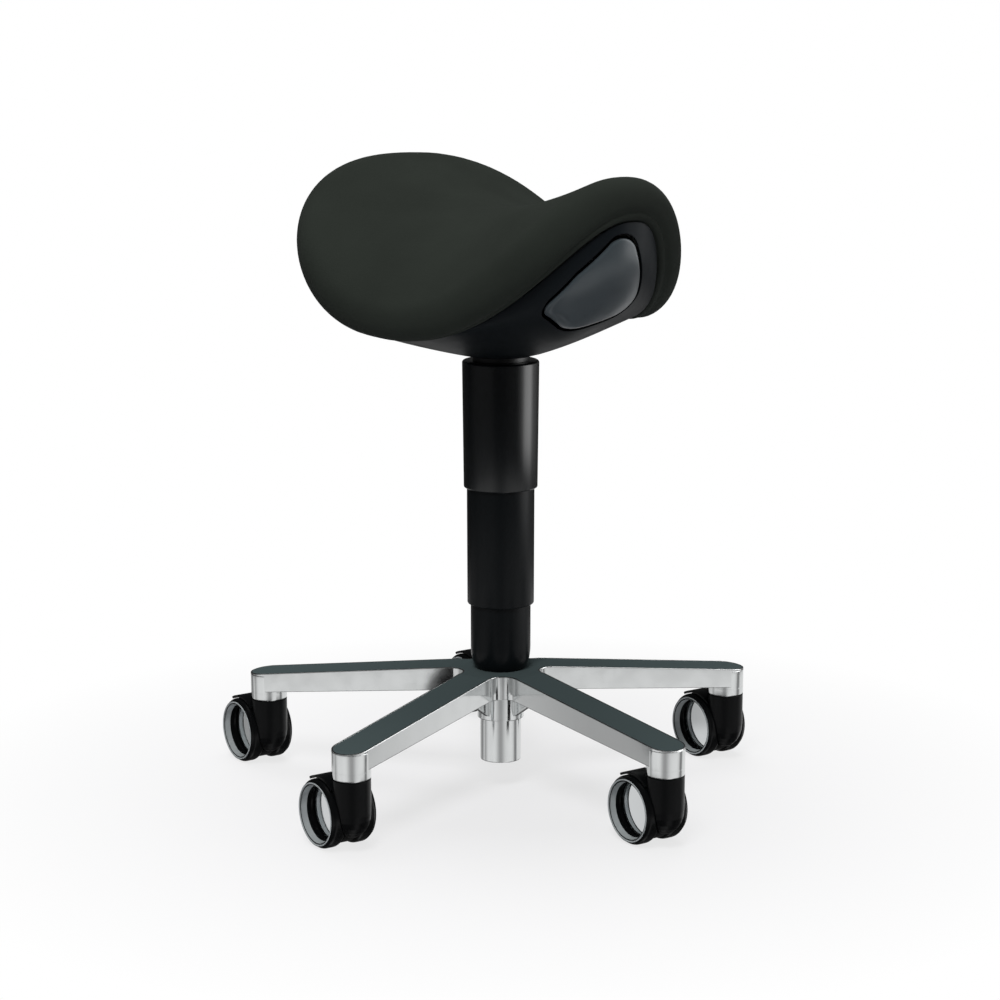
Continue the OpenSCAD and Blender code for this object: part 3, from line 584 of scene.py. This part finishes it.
def finish(name):
    """The material of a finish, made once."""
    made = bpy.data.materials.get(name)
    if made:
        return made
    f = setting("finishes")
    makers = {
        "stretch_knit": lambda: stretch_knit(f),
        # polypropylene, moulded against a fine grain
        "moulded_polypropylene": lambda: moulded(name, f.shell, 0.42, 900.0, 0.15, 0.001, 0.06),
        # ABS, moulded satin and smoothed by hands
        "satin_abs": lambda: moulded(name, f.paddle, 0.34, 700.0, 0.03, 0.0, 0.5),
        # ABS tube, moulded in a polished die
        "sleeve_abs": lambda: moulded(name, f.sleeve, 0.2, 700.0, 0.01, 0.0006, 0.5),
        # the same tube, dulled by sliding in the next one
        "rubbed_sleeve_abs": lambda: moulded(name, f.sleeve, 0.3, 700.0, 0.01, 0.0006, 0.14),
        # nylon, moulded against a fine grain, and the same worn smooth by rolling
        "castor_nylon": lambda: moulded(name, f.nylon, 0.3, 800.0, 0.04, 0.001, 0.1),
        "wheel_nylon": lambda: moulded(name, f.nylon, 0.28, 600.0, 0.03, 0.0, 0.15),
        # rubber, pressed in a blasted mould
        "moulded_rubber": lambda: moulded(name, "#111111", 0.8, 500.0, 0.3),
        # acetal, turned from rod
        "acetal": lambda: moulded(name, "#D8D5C8", 0.35, 500.0, 0.05),
        # nylon whose skin its glass fibres dull
        "glass_filled_nylon": lambda: moulded(name, "#24231F", 0.6, 600.0, 0.2),
        # die-cast aluminium, polished
        "polished_aluminium": lambda: metal(name, f.aluminium, 0.12, 60.0, 0.006, 0.0012),
        # matt lacquer, sprayed on the casting
        "slate_lacquer": lambda: moulded(name, f.slate, 0.9, 1200.0, 0.15, 0.0, 0.0),
        # chromium, plated on a polished part
        "chrome_plate": lambda: metal(name, f.chrome, 0.06, 40.0, 0.0),
        # ABS ring in a pale grey with no metal in it: a painted reflection that stands in for
        # bright plating
        "pale_ring_painted_reflection": lambda: moulded(name, f.ring, 0.2, 600.0, 0.0, 0.0, 0.5),
        # drawn steel, zinc plated
        "zinc_steel": lambda: metal(name, "#AEB1B3", 0.3, 200.0, 0.05),
        # steel tube under stoved enamel
        "enamelled_steel": lambda: moulded(name, "#16181A", 0.4, 300.0, 0.05),
    }
    return makers[name]()


SLOT_FINISH = {
    "cast_aluminium": "polished_aluminium", "slate_coating": "slate_lacquer",
    "black_steel": "enamelled_steel", "bushing_plastic": "acetal", "bright_steel": "zinc_steel",
    "bumper_rubber": "moulded_rubber", "sleeve_plastic": "sleeve_abs", "rod_chrome": "chrome_plate",
    "pan_plastic": "glass_filled_nylon", "shell_plastic": "moulded_polypropylene",
    "upholstery": "stretch_knit", "lever_plastic": "satin_abs", "castor_plastic": "castor_nylon",
    "tread_plastic": "wheel_nylon", "rim_chrome": "chrome_plate",
}


# ---- operators


def stand_in(obj, node, body):
    """Hide the CAD node that a piece stands for and hang the piece on the body that it rides on."""
    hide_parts(node)
    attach(obj, body)


class STOOL_OT_frame_finishes(Operator):
    """Give each CAD node the finish of its material slot"""

    bl_idname = "stool.frame_finishes"
    bl_label = "Frame finishes"

    def execute(self, context):
        for part in frame["record"]["subparts"]:
            node = NODES[part["node"]]
            for slot in node.material_slots:
                slot.material = finish(SLOT_FINISH[part["material_slot"]])
        return {"FINISHED"}


def per_vertex(mesh, key):
    """A mesh's places or normals, one row for each vertex."""
    flat = np.empty(len(mesh.vertices) * 3, dtype=np.float32)
    mesh.vertices.foreach_get(key, flat)
    return flat.reshape(-1, 3)


def swell(obj, reach, frames=20):
    """Blow a closed cover out a little with Blender's cloth; no point moves further than reach."""
    before = per_vertex(obj.data, "co")
    scene = bpy.context.scene
    cloth = obj.modifiers.new("cloth", "CLOTH")
    cloth.settings.effector_weights.gravity = 0
    cloth.settings.use_pressure = True
    cloth.settings.uniform_pressure_force = 4
    cloth.settings.quality = 5
    cloth.collision_settings.use_collision = False
    cloth.point_cache.frame_start = 1
    cloth.point_cache.frame_end = frames
    for number in range(1, frames + 1):
        scene.frame_set(number)
    graph = bpy.context.evaluated_depsgraph_get()
    after = per_vertex(obj.evaluated_get(graph).data, "co")
    obj.modifiers.clear()
    scene.frame_set(1)
    step = after - before
    far = np.linalg.norm(step, axis=1, keepdims=True)
    capped = reach * np.tanh(far / reach) / np.maximum(far, 1e-9)
    obj.data.vertices.foreach_set("co", (before + step * capped).astype(np.float32).ravel())
    obj.data.update()


def settle(obj, verts, faces, share):
    """Bring a cover most of the way back onto the foam's form."""
    form = BVHTree.FromPolygons([tuple(v) for v in verts], faces)
    for vertex in obj.data.vertices:
        vertex.co = vertex.co.lerp(form.find_nearest(vertex.co)[0], share)
    obj.data.update()


def press_line(obj, path, depth, half_width):
    """Press a seam line into a surface along a closed path, as a row of stitches does."""
    line = KDTree(len(path))
    for i, point in enumerate(path):
        line.insert(point, i)
    line.balance()
    for vertex in obj.data.vertices:
        away = line.find(vertex.co)[2]
        if away < 3 * half_width:
            vertex.co -= vertex.normal * depth * math.exp(-(away / half_width) ** 2)
    obj.data.update()


class STOOL_OT_pad(Operator):
    """Build the upholstered saddle pad with its rolled edge and its seam line"""

    bl_idname = "stool.pad"
    bl_label = "Saddle pad"
    bl_options = {"REGISTER", "UNDO"}

    around: IntProperty(name="Points around", description="Points round the pad", default=144)
    relief: size("Relief", "How far the foam's form stands out", 0.0004)
    crease_turn: FloatProperty(
        name="Crease turn", description="Place of the seam line round the rolled edge, in degrees",
        default=134)

    def loft(self, saddle, r):
        """Closed skin at a distance from the saddle's middle layer."""
        a = bearings(self.around)
        lower, upper = [], []
        for k in (*np.linspace(0.06, 0.94, 17), 0.975):
            p = saddle.sheet(a, np.full_like(a, k))
            n = saddle.normal(a, np.full_like(a, min(k, 0.985)))
            upper.append(p + r * n)
            lower.append(p - r * n)
        side = [saddle.roll(a, t, r) for t in np.radians(np.linspace(4, 176, 24))]
        middle = saddle.sheet(np.zeros(1), np.zeros(1))[0]
        rings = lower + side[::-1] + upper[::-1]
        return closed_skin(rings, middle - [0, 0, r], middle + [0, 0, r])

    def execute(self, context):
        s = setting("saddle")
        saddle = Saddle(s)
        pad = outward(object_mesh("saddle_pad", *self.loft(saddle, s.roll - s.swell)))
        remesh = pad.modifiers.new("remesh", "REMESH")
        remesh.mode, remesh.voxel_size = "VOXEL", 0.005
        apply_modifiers(pad)
        relax = pad.modifiers.new("relax", "SMOOTH")
        relax.factor, relax.iterations = 0.5, 10
        apply_modifiers(pad)
        swell(pad, s.swell)
        finer = pad.modifiers.new("finer", "SUBSURF")
        finer.levels = finer.render_levels = 1
        apply_modifiers(pad)
        settle(pad, *self.loft(saddle, s.roll + self.relief), 0.85)
        a = bearings(720)
        press_line(pad, saddle.roll(a, math.radians(self.crease_turn), s.roll), s.crease, 0.003)
        pad.data.materials.clear()
        pad.data.materials.append(finish("stretch_knit"))
        pad.data.shade_smooth()
        outward(pad)
        stand_in(pad, "seat_pad", "seat")
        return {"FINISHED"}


class STOOL_OT_hem(Operator):
    """Build the rolled hem that tucks the cover in at the shell's rim"""

    bl_idname = "stool.hem"
    bl_label = "Hem"
    bl_options = {"REGISTER", "UNDO"}

    turn: FloatProperty(
        name="Turn", description="Place of the hem round the rolled edge, in degrees", default=150)

    def execute(self, context):
        s = setting("saddle")
        a = bearings(240)
        path = Saddle(s).roll(a, math.radians(self.turn), s.roll - s.hem + s.hem_proud)
        hem = line_object("saddle_hem", path, True)
        grow_nodes(hem, "sweep", {
            "Radius": s.hem, "Sides": 20, "Material": finish("stretch_knit")}, 60)
        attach(hem, "seat")
        return {"FINISHED"}


class STOOL_OT_shell(Operator):
    """Build the moulded shell under the saddle, with the opening for the paddle"""

    bl_idname = "stool.shell"
    bl_label = "Shell"
    bl_options = {"REGISTER", "UNDO"}

    around: IntProperty(name="Points around", description="Points round the shell", default=240)

    def execute(self, context):
        s = setting("saddle")
        saddle = Saddle(s)
        a = bearings(self.around)
        steps = np.linspace(0, 1, 44)
        outer = [saddle.shell(a, np.full_like(a, f), 0.0) for f in steps]
        inner = [saddle.shell(a, np.full_like(a, f), s.shell_wall) for f in steps]
        rings = outer + inner[::-1]
        shell = outward(object_mesh("seat_shell_skin", np.concatenate(rings),
                                    ring_faces(len(rings), self.around, True),
                                    finish("moulded_polypropylene")))
        outline = paddle_outline(s.paddle_gap, s.neck_height, 160, s.head_gap)
        count = len(outline)
        near = np.column_stack([outline[:, 0], np.full(count, -0.3), outline[:, 1]])
        far = np.column_stack([outline[:, 0], np.full(count, -0.1), outline[:, 1]])
        faces = ring_faces(2, count)
        faces += [tuple(range(count)), tuple(range(2 * count - 1, count - 1, -1))]
        cutter = outward(object_mesh("paddle_cutter", np.vstack([near, far]), faces, smooth=False))
        cut = shell.modifiers.new("cut", "BOOLEAN")
        cut.operation, cut.solver, cut.object = "DIFFERENCE", "EXACT", cutter
        apply_modifiers(shell)
        bpy.data.objects.remove(cutter)
        shell.data.shade_smooth()
        shell.data.set_sharp_from_angle(angle=math.radians(40))
        stand_in(shell, "seat_shell", "seat")
        return {"FINISHED"}


class STOOL_OT_paddle(Operator):
    """Build the height paddle with its finger lip"""

    bl_idname = "stool.paddle"
    bl_label = "Height paddle"
    bl_options = {"REGISTER", "UNDO"}

    lip: size("Lip", "How far the finger lip stands out", 0.0042)
    thick: size("Thick", "Depth of the paddle's back behind the shell's face", 0.0026)

    def execute(self, context):
        s = setting("saddle")
        saddle = Saddle(s)
        count = 200
        edge = paddle_outline(0.0, s.neck_height, count)
        middle = np.array([-0.010, s.neck_height + PADDLE_FOOT + 0.036])
        # share of the way in from the edge, depth below the proud face
        rows = [(0.0, 0.0034), (0.0, 0.0016), (0.012, 0.0007), (0.03, 0.0002)]
        rows += [(share, 0.0) for share in (
            0.055, 0.09, 0.13, 0.18, 0.24, 0.35, 0.5, 0.66, 0.82, 0.93)]
        # the lip runs along the lower left edge and dies away at both ends, in degrees
        lip_at, lip_spread = -140, 26
        way = np.degrees(np.arctan2(edge[:, 1] - middle[1], edge[:, 0] - middle[0]))
        off = np.minimum(np.abs(way - lip_at), np.abs(way - lip_at - 360))
        along = np.exp(-(off / lip_spread) ** 2)
        rings = []
        for share, depth in rows:
            p = edge + (middle - edge) * share
            y = saddle.front_depth(p[:, 0], p[:, 1])
            rise = self.lip * along * math.exp(-((share - 0.05) / 0.07) ** 2)
            rings.append(np.column_stack([p[:, 0], y - s.paddle_proud + depth - rise, p[:, 1]]))
        back = [np.column_stack([edge[:, 0] * 0.999, rings[0][:, 1] + 0.001, edge[:, 1]])]
        for share in (0.08, 0.4, 0.8):
            p = edge + (middle - edge) * share
            y = saddle.front_depth(p[:, 0], p[:, 1])
            back.append(np.column_stack([p[:, 0], y + self.thick, p[:, 1]]))
        y = saddle.front_depth(middle[:1], middle[1:])[0]
        skin = closed_skin(back[::-1] + rings, [middle[0], y + self.thick, middle[1]],
                           [middle[0], y - s.paddle_proud, middle[1]])
        paddle = outward(object_mesh("height_paddle", *skin, finish("satin_abs")))
        stand_in(paddle, "lever_paddle", "paddle")
        return {"FINISHED"}


class STOOL_OT_sockets(Operator):
    """Turn the polished barrels at the arms' ends, each with its socket's mouth"""

    bl_idname = "stool.sockets"
    bl_label = "Castor sockets"
    bl_options = {"REGISTER", "UNDO"}

    edge: size("Edge", "Radius of the rounded mouth", 0.0009)

    def execute(self, context):
        c = setting("castor")
        low, mouth = (v[2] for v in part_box("castor_sockets"))
        bore, r = 0.00555, c.socket
        high, inside = low + c.barrel, r - 0.0006
        barrel = rounded([
            (bore, low), (r, low), (r, high), (inside, high), (inside, mouth), (bore, mouth)],
            (0, self.edge, 0, 0, 0, 0))
        mat = finish("polished_aluminium")
        obj = turned("castor_sockets_skin", barrel, mat, segments=96)
        grow_nodes(obj, "spread", {
            "Count": len(CASTORS), "Circle": c.circle, "Turn": (0, 0, math.radians(-90)),
            "Material": mat})
        stand_in(obj, "castor_sockets", "base")
        return {"FINISHED"}


class STOOL_OT_sleeves(Operator):
    """Turn the three telescopic sleeves of the column"""

    bl_idname = "stool.sleeves"
    bl_label = "Sleeves"
    bl_options = {"REGISTER", "UNDO"}

    wall: size("Wall", "Wall of a sleeve", 0.0016)
    gap: size("Gap", "Gap between a sleeve and the next", 0.0003)

    def execute(self, context):
        c = setting("column")
        w, g = self.wall, self.gap
        # height of a catching lip and of the slope behind it, and how much each tube tapers
        lip, slope, taper_upper, taper_middle = 0.003, 0.0006, 0.0014, 0.0004
        low, high = (v[2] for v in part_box("sleeve_upper"))
        foot = c.upper - taper_upper
        bore = c.middle + g
        boss = 0.024 + g
        turned_upper = rounded([
            (bore, low), (foot, low), (c.upper, high), (boss, high), (boss, high - 0.002),
            (c.upper - w, high - 0.002), (foot - w, low + lip + slope), (bore, low + lip)],
            (0, 0.0013, 0.0022, 0, 0, 0, 0, 0))
        self.sleeve("sleeve_upper", turned_upper, "sleeve_abs")

        low, high = (v[2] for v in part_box("sleeve_middle"))
        below = c.middle - taper_middle
        catch = foot - w - g
        turned_middle = rounded([
            (c.lower + g, low), (below, low), (c.middle, high - lip - slope), (catch, high - lip),
            (catch, high), (c.middle - w, high), (below - w, low + lip + slope),
            (c.lower + g, low + lip)], (0, 0.0012, 0, 0, 0, 0, 0, 0))
        self.sleeve("sleeve_middle", turned_middle, "rubbed_sleeve_abs")

        # the lower tube stands in a bell that closes in on the hub
        low, high = (v[2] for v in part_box("sleeve_lower"))
        root, rise, catch = 0.0223, 0.0215, below - w - g
        bell = [(root + (c.lower - root) * math.sin(t), low + rise * (1 - math.cos(t)))
                for t in np.linspace(0, np.pi / 2, 14)]
        inner = [(r - w, z + 0.0003) for r, z in bell]
        turned_lower = bell + [
            (c.lower, high - lip - slope), (catch, high - lip), (catch, high),
            (c.lower - w, high)] + inner[::-1]
        self.sleeve("sleeve_lower", turned_lower, "rubbed_sleeve_abs")
        return {"FINISHED"}

    def sleeve(self, node, profile, look):
        """Turn a sleeve that stands for a CAD node and rides with it."""
        obj = turned(node + "_skin", profile, finish(look))
        stand_in(obj, node, BODY_OF[node])


class STOOL_OT_wheels(Operator):
    """Turn the wheels of the castors with their pale rings, whose grey is a painted reflection, and
    bright caps
    """

    bl_idname = "stool.wheels"
    bl_label = "Castor wheels"
    bl_options = {"REGISTER", "UNDO"}

    ring: size("Ring", "Width of the silver ring", 0.0011)
    ring_depth: size("Ring depth", "Depth of the silver ring", 0.0065)
    flare: size("Flare", "How much the ring narrows inward", 0.0026)
    cap: size("Cap", "Thickness of the hub cap", 0.0008)

    def execute(self, context):
        c = setting("castor")
        r, out = c.radius, c.gap + c.width
        lip = r * 0.91
        mouth = lip - self.ring
        low = out - self.ring_depth
        floor_r, floor_z = mouth - 0.0015, out - c.dish
        bore = 0.00405
        tread = rounded([
            (bore, c.gap), (r, c.gap), (r, out), (lip + 0.0002, out - 0.0004),
            (lip + 0.0002, low), (mouth, low), (floor_r, floor_z), (bore, floor_z)],
            (0, 0.0052, 0.0048, 0.0003, 0, 0.0002, 0.0015, 0), 8)
        ring = rounded([
            (mouth - self.flare, low), (lip, low), (lip, out + 0.0002), (mouth, out + 0.0002)],
            (0, 0, 0.0004, 0.0004), 4)
        cap_r, cap_z = floor_r - 0.0001, floor_z + self.cap
        disc = [(0.0, floor_z), (cap_r, floor_z), (cap_r, floor_z + self.cap * 0.6),
                (cap_r - 0.0004, cap_z), (0.0, cap_z)]
        yaw = math.radians(c.yaw)
        for k in CASTORS:
            stem = math.radians((k - 1) * 72 - 90)
            centre = (c.circle * math.cos(stem) - c.trail * math.sin(yaw),
                      c.circle * math.sin(stem) + c.trail * math.cos(yaw), r)
            for side, tilt in (("right", math.pi / 2), ("left", -math.pi / 2)):
                name = f"castor_{k}_wheel_{side}"
                body = f"castor_{k}_{side}"
                turn = (0, tilt, yaw)
                wheel = turned(name + "_skin", tread, finish("wheel_nylon"), centre, turn, True, 96)
                stand_in(wheel, name, body)
                # pale grey ring: painted reflection of plating
                trim = turned(f"castor_{k}_trim_{side}", ring, finish("pale_ring_painted_reflection"),
                              centre, turn, True, 96)
                plate = turned(f"castor_{k}_cap_{side}", disc, finish("chrome_plate"),
                               centre, turn, False, 96)
                join(trim, plate)
                stand_in(trim, f"castor_{k}_rim_{side}", body)
        return {"FINISHED"}


# painted reflections: grey of a glowing wall, no lamp, that only reflections show, by its azimuth
# in degrees: low, where the arms' sides look, with dark dips that paint the shade of the other arms
# and a dark line at the camera's place, and just under that; high, where the column looks; a
# painted highlight of a soft box on the column's right side; and far below, a painted floor
# reflection where the castors' rings and the hub's tube look
PAINTED_REFLECTION_LOW = ((-180, 0.88), (-165, 0.93), (-154, 0.86), (-144, 0.62), (-134, 0.42), (-124, 0.40),
              (-114, 0.58), (-102, 0.80), (-86, 0.90), (-68, 0.93), (-54, 0.80), (-47, 0.50),
              (-42, 0.25), (-33, 0.25), (-27, 0.60), (-20, 0.88), (0, 0.85), (30, 0.88),
              (66, 0.82), (88, 0.62), (96, 0.30), (115, 0.28), (123, 0.72), (128, 0.72),
              (134, 0.42), (142, 0.50), (150, 0.74), (160, 0.88), (180, 0.88))
PAINTED_REFLECTION_FOOT = tuple(stop for stop in PAINTED_REFLECTION_LOW if not 90 < stop[0] < 120)
PAINTED_REFLECTION_HIGH = ((-180, 0.12), (-155, 0.10), (-143, 0.04), (-115, 0.04), (-104, 0.08), (-73, 0.10),
               (-13, 0.08), (13, 0.06), (60, 0.04), (109, 0.03), (131, 0.03), (152, 0.10),
               (180, 0.12))
PAINTED_SOFT_BOX_HIGHLIGHT = ((-180, 0.0), (-78, 0.0), (-68, 0.08), (-59, 0.26), (-49, 0.9), (-29, 0.9),
            (-22, 0.45), (-14, 0.14), (10, 0.02), (30, 0.0), (180, 0.0))
PAINTED_FLOOR_REFLECTION = ((-180, 0.08), (-118, 0.08), (-106, 0.9), (-84, 0.9), (-72, 0.08), (180, 0.08))

# the camera's place, the point it looks at and its focal length, for the 36 mm sensor
CAMERA_PLACE, CAMERA_AIM, CAMERA_LENS = (-1.51, -1.9233, 0.7821), (-0.0005, 0.0004, 0.2875), 92.43
# name, place, aim, side and watts of each lamp
LAMPS = (("left_light", (-1.4, -1.2, 2.6), (0, 0, 0.5), 1.0, 46.0),
         ("top_light", (0.3, 0.6, 3.0), (0, 0, 0.3), 1.6, 34.0))


def face_to(obj, place, aim):
    """Set an object down and turn its -Z to a point."""
    obj.location = place
    obj.rotation_euler = (Vector(aim) - Vector(place)).to_track_quat("-Z", "Y").to_euler()


class STOOL_OT_stage(Operator):
    """Make the floor, the lights, the world and the camera"""

    bl_idname = "stool.stage"
    bl_label = "Stage"

    def execute(self, context):
        scene = context.scene
        scene.view_settings.view_transform = "Standard"
        reach = 8.0
        floor = object_mesh("floor", [(-reach, -reach, 0), (reach, -reach, 0), (reach, reach, 0),
                                      (-reach, reach, 0)], [(0, 1, 2, 3)], smooth=False)
        floor.visible_glossy = False
        mat, tree, shader = material("pale_floor", {
            "Base Color": linear("#D6D5D9"), "Roughness": 0.9, "Specular IOR Level": 0.0})
        floor.data.materials.append(mat)
        # the floor fades into the white background away from the stool
        place = add(tree, "ShaderNodeTexCoord").outputs["Object"]
        away = add(tree, "ShaderNodeVectorMath", {"operation": "LENGTH"}, {0: place})
        fade = ramp(tree, add(tree, "ShaderNodeMath", {"operation": "DIVIDE"}, {
            0: away.outputs["Value"], 1: 1.2}).outputs["Value"], (0.12, 0.7), (0.5, 1.0))
        path = add(tree, "ShaderNodeLightPath")
        white = add(tree, "ShaderNodeEmission", None, {"Color": (1, 1, 1, 1), "Strength": 1.0})
        part = add(tree, "ShaderNodeMath", {"operation": "MULTIPLY"}, {
            0: fade, 1: path.outputs["Is Camera Ray"]})
        mix = add(tree, "ShaderNodeMixShader", None, {
            0: part.outputs["Value"], 1: shader.outputs["BSDF"], 2: white.outputs["Emission"]})
        tree.links.new(mix.outputs["Shader"], tree.nodes["Material Output"].inputs["Surface"])

        self.paint_reflection_wall()
        self.world(scene)
        self.lamps(scene)

        lens = bpy.data.cameras.new("camera")
        lens.sensor_width, lens.lens = 36.0, CAMERA_LENS
        camera = bpy.data.objects.new("camera", lens)
        face_to(camera, CAMERA_PLACE, CAMERA_AIM)
        scene.collection.objects.link(camera)
        scene.camera = camera
        return {"FINISHED"}

    def paint_reflection_wall(self):
        """Glowing wall, no lamp, that only reflections show: painted reflections of soft boxes and
        gaps, with painted highlights and bands of painted shade.
        """
        count, far, high = 96, 1.5, 6.0
        ways = np.linspace(0, 2 * np.pi, count, endpoint=False)
        rings = [np.column_stack([far * np.cos(ways), far * np.sin(ways), np.full(count, z)])
                 for z in (-high, high)]
        wall = object_mesh("painted_reflection_wall", np.concatenate(rings), ring_faces(2, count), smooth=False)
        # hidden from camera, diffuse and shadow rays: its glow shows only as painted reflections
        wall.visible_camera = wall.visible_diffuse = wall.visible_shadow = False
        wall.visible_transmission = wall.visible_volume_scatter = False
        mat = bpy.data.materials.new("painted_reflection_greys")
        mat.use_nodes = True
        tree = mat.node_tree
        tree.nodes.clear()
        place = add(tree, "ShaderNodeTexCoord").outputs["Object"]
        height = add(tree, "ShaderNodeSeparateXYZ", None, {"Vector": place}).outputs["Z"]
        greys = self.by_azimuth(tree, place, PAINTED_FLOOR_REFLECTION)
        for low, high, level in ((-0.80, -0.65, PAINTED_REFLECTION_FOOT), (-0.47, -0.45, PAINTED_REFLECTION_LOW),
                                 (-0.26, -0.23, PAINTED_REFLECTION_HIGH)):
            greys = add(tree, "ShaderNodeMix", {"data_type": "RGBA"}, {
                0: self.between(tree, height, low, high, 1.0),
                6: greys, 7: self.by_azimuth(tree, place, level)}).outputs[2]
        # the soft box strip is a painted highlight: it glows up to 3.8 but lights nothing
        painted_highlight = add(tree, "ShaderNodeVectorMath", {"operation": "SCALE"}, {
            0: self.by_azimuth(tree, place, PAINTED_SOFT_BOX_HIGHLIGHT),
            "Scale": self.between(tree, height, -0.20, 0.05, 3.8)})
        total = add(tree, "ShaderNodeVectorMath", {"operation": "ADD"}, {
            0: greys, 1: painted_highlight.outputs["Vector"]})
        light = add(tree, "ShaderNodeEmission", None, {
            "Color": total.outputs["Vector"], "Strength": 1.0})
        add(tree, "ShaderNodeOutputMaterial", None, {"Surface": light.outputs["Emission"]})
        wall.data.materials.append(mat)

    def by_azimuth(self, tree, place, greys):
        """Grey that changes with the direction round Z."""
        turn = add(tree, "ShaderNodeTexGradient", {"gradient_type": "RADIAL"}, {"Vector": place})
        node = add(tree, "ShaderNodeValToRGB", None, {"Fac": turn.outputs["Fac"]})
        stops = node.color_ramp.elements
        for i, (azimuth, grey) in enumerate(greys):
            spot = (azimuth + 180) / 360
            stop = stops[i] if i < 2 else stops.new(spot)
            stop.position = spot
            stop.color = (grey, grey, grey, 1)
        return node.outputs["Color"]

    def between(self, tree, value, start, end, top):
        """Value that climbs from 0 to a top between two heights."""
        climb = add(tree, "ShaderNodeMapRange", {"interpolation_type": "SMOOTHSTEP"}, {
            "Value": value, "From Min": start, "From Max": end, "To Min": 0.0, "To Max": top})
        return climb.outputs["Result"]

    def world(self, scene):
        world = bpy.data.worlds.new("studio")
        scene.world = world
        world.use_nodes = True
        tree = world.node_tree
        tree.nodes.clear()
        path = add(tree, "ShaderNodeLightPath")
        bent = add(tree, "ShaderNodeMath", {"operation": "MAXIMUM"}, {
            0: path.outputs["Is Glossy Ray"], 1: path.outputs["Is Transmission Ray"]})
        seen = add(tree, "ShaderNodeMath", {"operation": "MAXIMUM"}, {
            0: path.outputs["Is Camera Ray"], 1: bent.outputs["Value"]})
        soft = add(tree, "ShaderNodeBackground", None, {"Color": (1, 1, 1, 1), "Strength": 0.25})
        white = add(tree, "ShaderNodeBackground", None, {"Color": (1, 1, 1, 1), "Strength": 1.0})
        mix = add(tree, "ShaderNodeMixShader", None, {
            0: seen.outputs["Value"], 1: soft.outputs["Background"],
            2: white.outputs["Background"]})
        add(tree, "ShaderNodeOutputWorld", None, {"Surface": mix.outputs["Shader"]})

    def lamps(self, scene):
        for name, place, aim, width, power in LAMPS:
            data = bpy.data.lights.new(name, "AREA")
            data.shape, data.size, data.energy = "SQUARE", width, power
            lamp = bpy.data.objects.new(name, data)
            face_to(lamp, place, aim)
            lamp.visible_glossy = False
            scene.collection.objects.link(lamp)


class STOOL_PT_panel(Panel):
    """Lists the stool's pieces and sizes"""

    bl_idname = "STOOL_PT_panel"
    bl_label = "Saddle Stool"
    bl_space_type = "VIEW_3D"
    bl_region_type = "UI"
    bl_category = "Stool"

    def draw(self, context):
        for piece in PIECES:
            self.layout.operator(piece.bl_idname)
        for group in GROUPS:
            box = self.layout.box()
            data = setting(group)
            for key in data.__annotations__:
                box.prop(data, key)


PIECES = (STOOL_OT_frame_finishes, STOOL_OT_pad, STOOL_OT_hem, STOOL_OT_shell, STOOL_OT_paddle,
          STOOL_OT_sockets, STOOL_OT_sleeves, STOOL_OT_wheels, STOOL_OT_stage)
GROUPS = {"saddle": SaddleSizes, "castor": CastorSizes, "column": ColumnSizes, "finishes": Finishes}


def register():
    for cls in (*GROUPS.values(), *PIECES, STOOL_PT_panel):
        bpy.utils.register_class(cls)
    for name, group in GROUPS.items():
        setattr(bpy.types.Scene, "stool_" + name, PointerProperty(type=group))


def unregister():
    for name in GROUPS:
        delattr(bpy.types.Scene, "stool_" + name)
    for cls in (STOOL_PT_panel, *reversed(PIECES), *GROUPS.values()):
        bpy.utils.unregister_class(cls)


def main():
    register()
    for piece in PIECES:
        group, name = piece.bl_idname.split(".")
        getattr(getattr(bpy.ops, group), name)()
    bpy.context.view_layer.update()


if __name__ == "__main__":
    main()
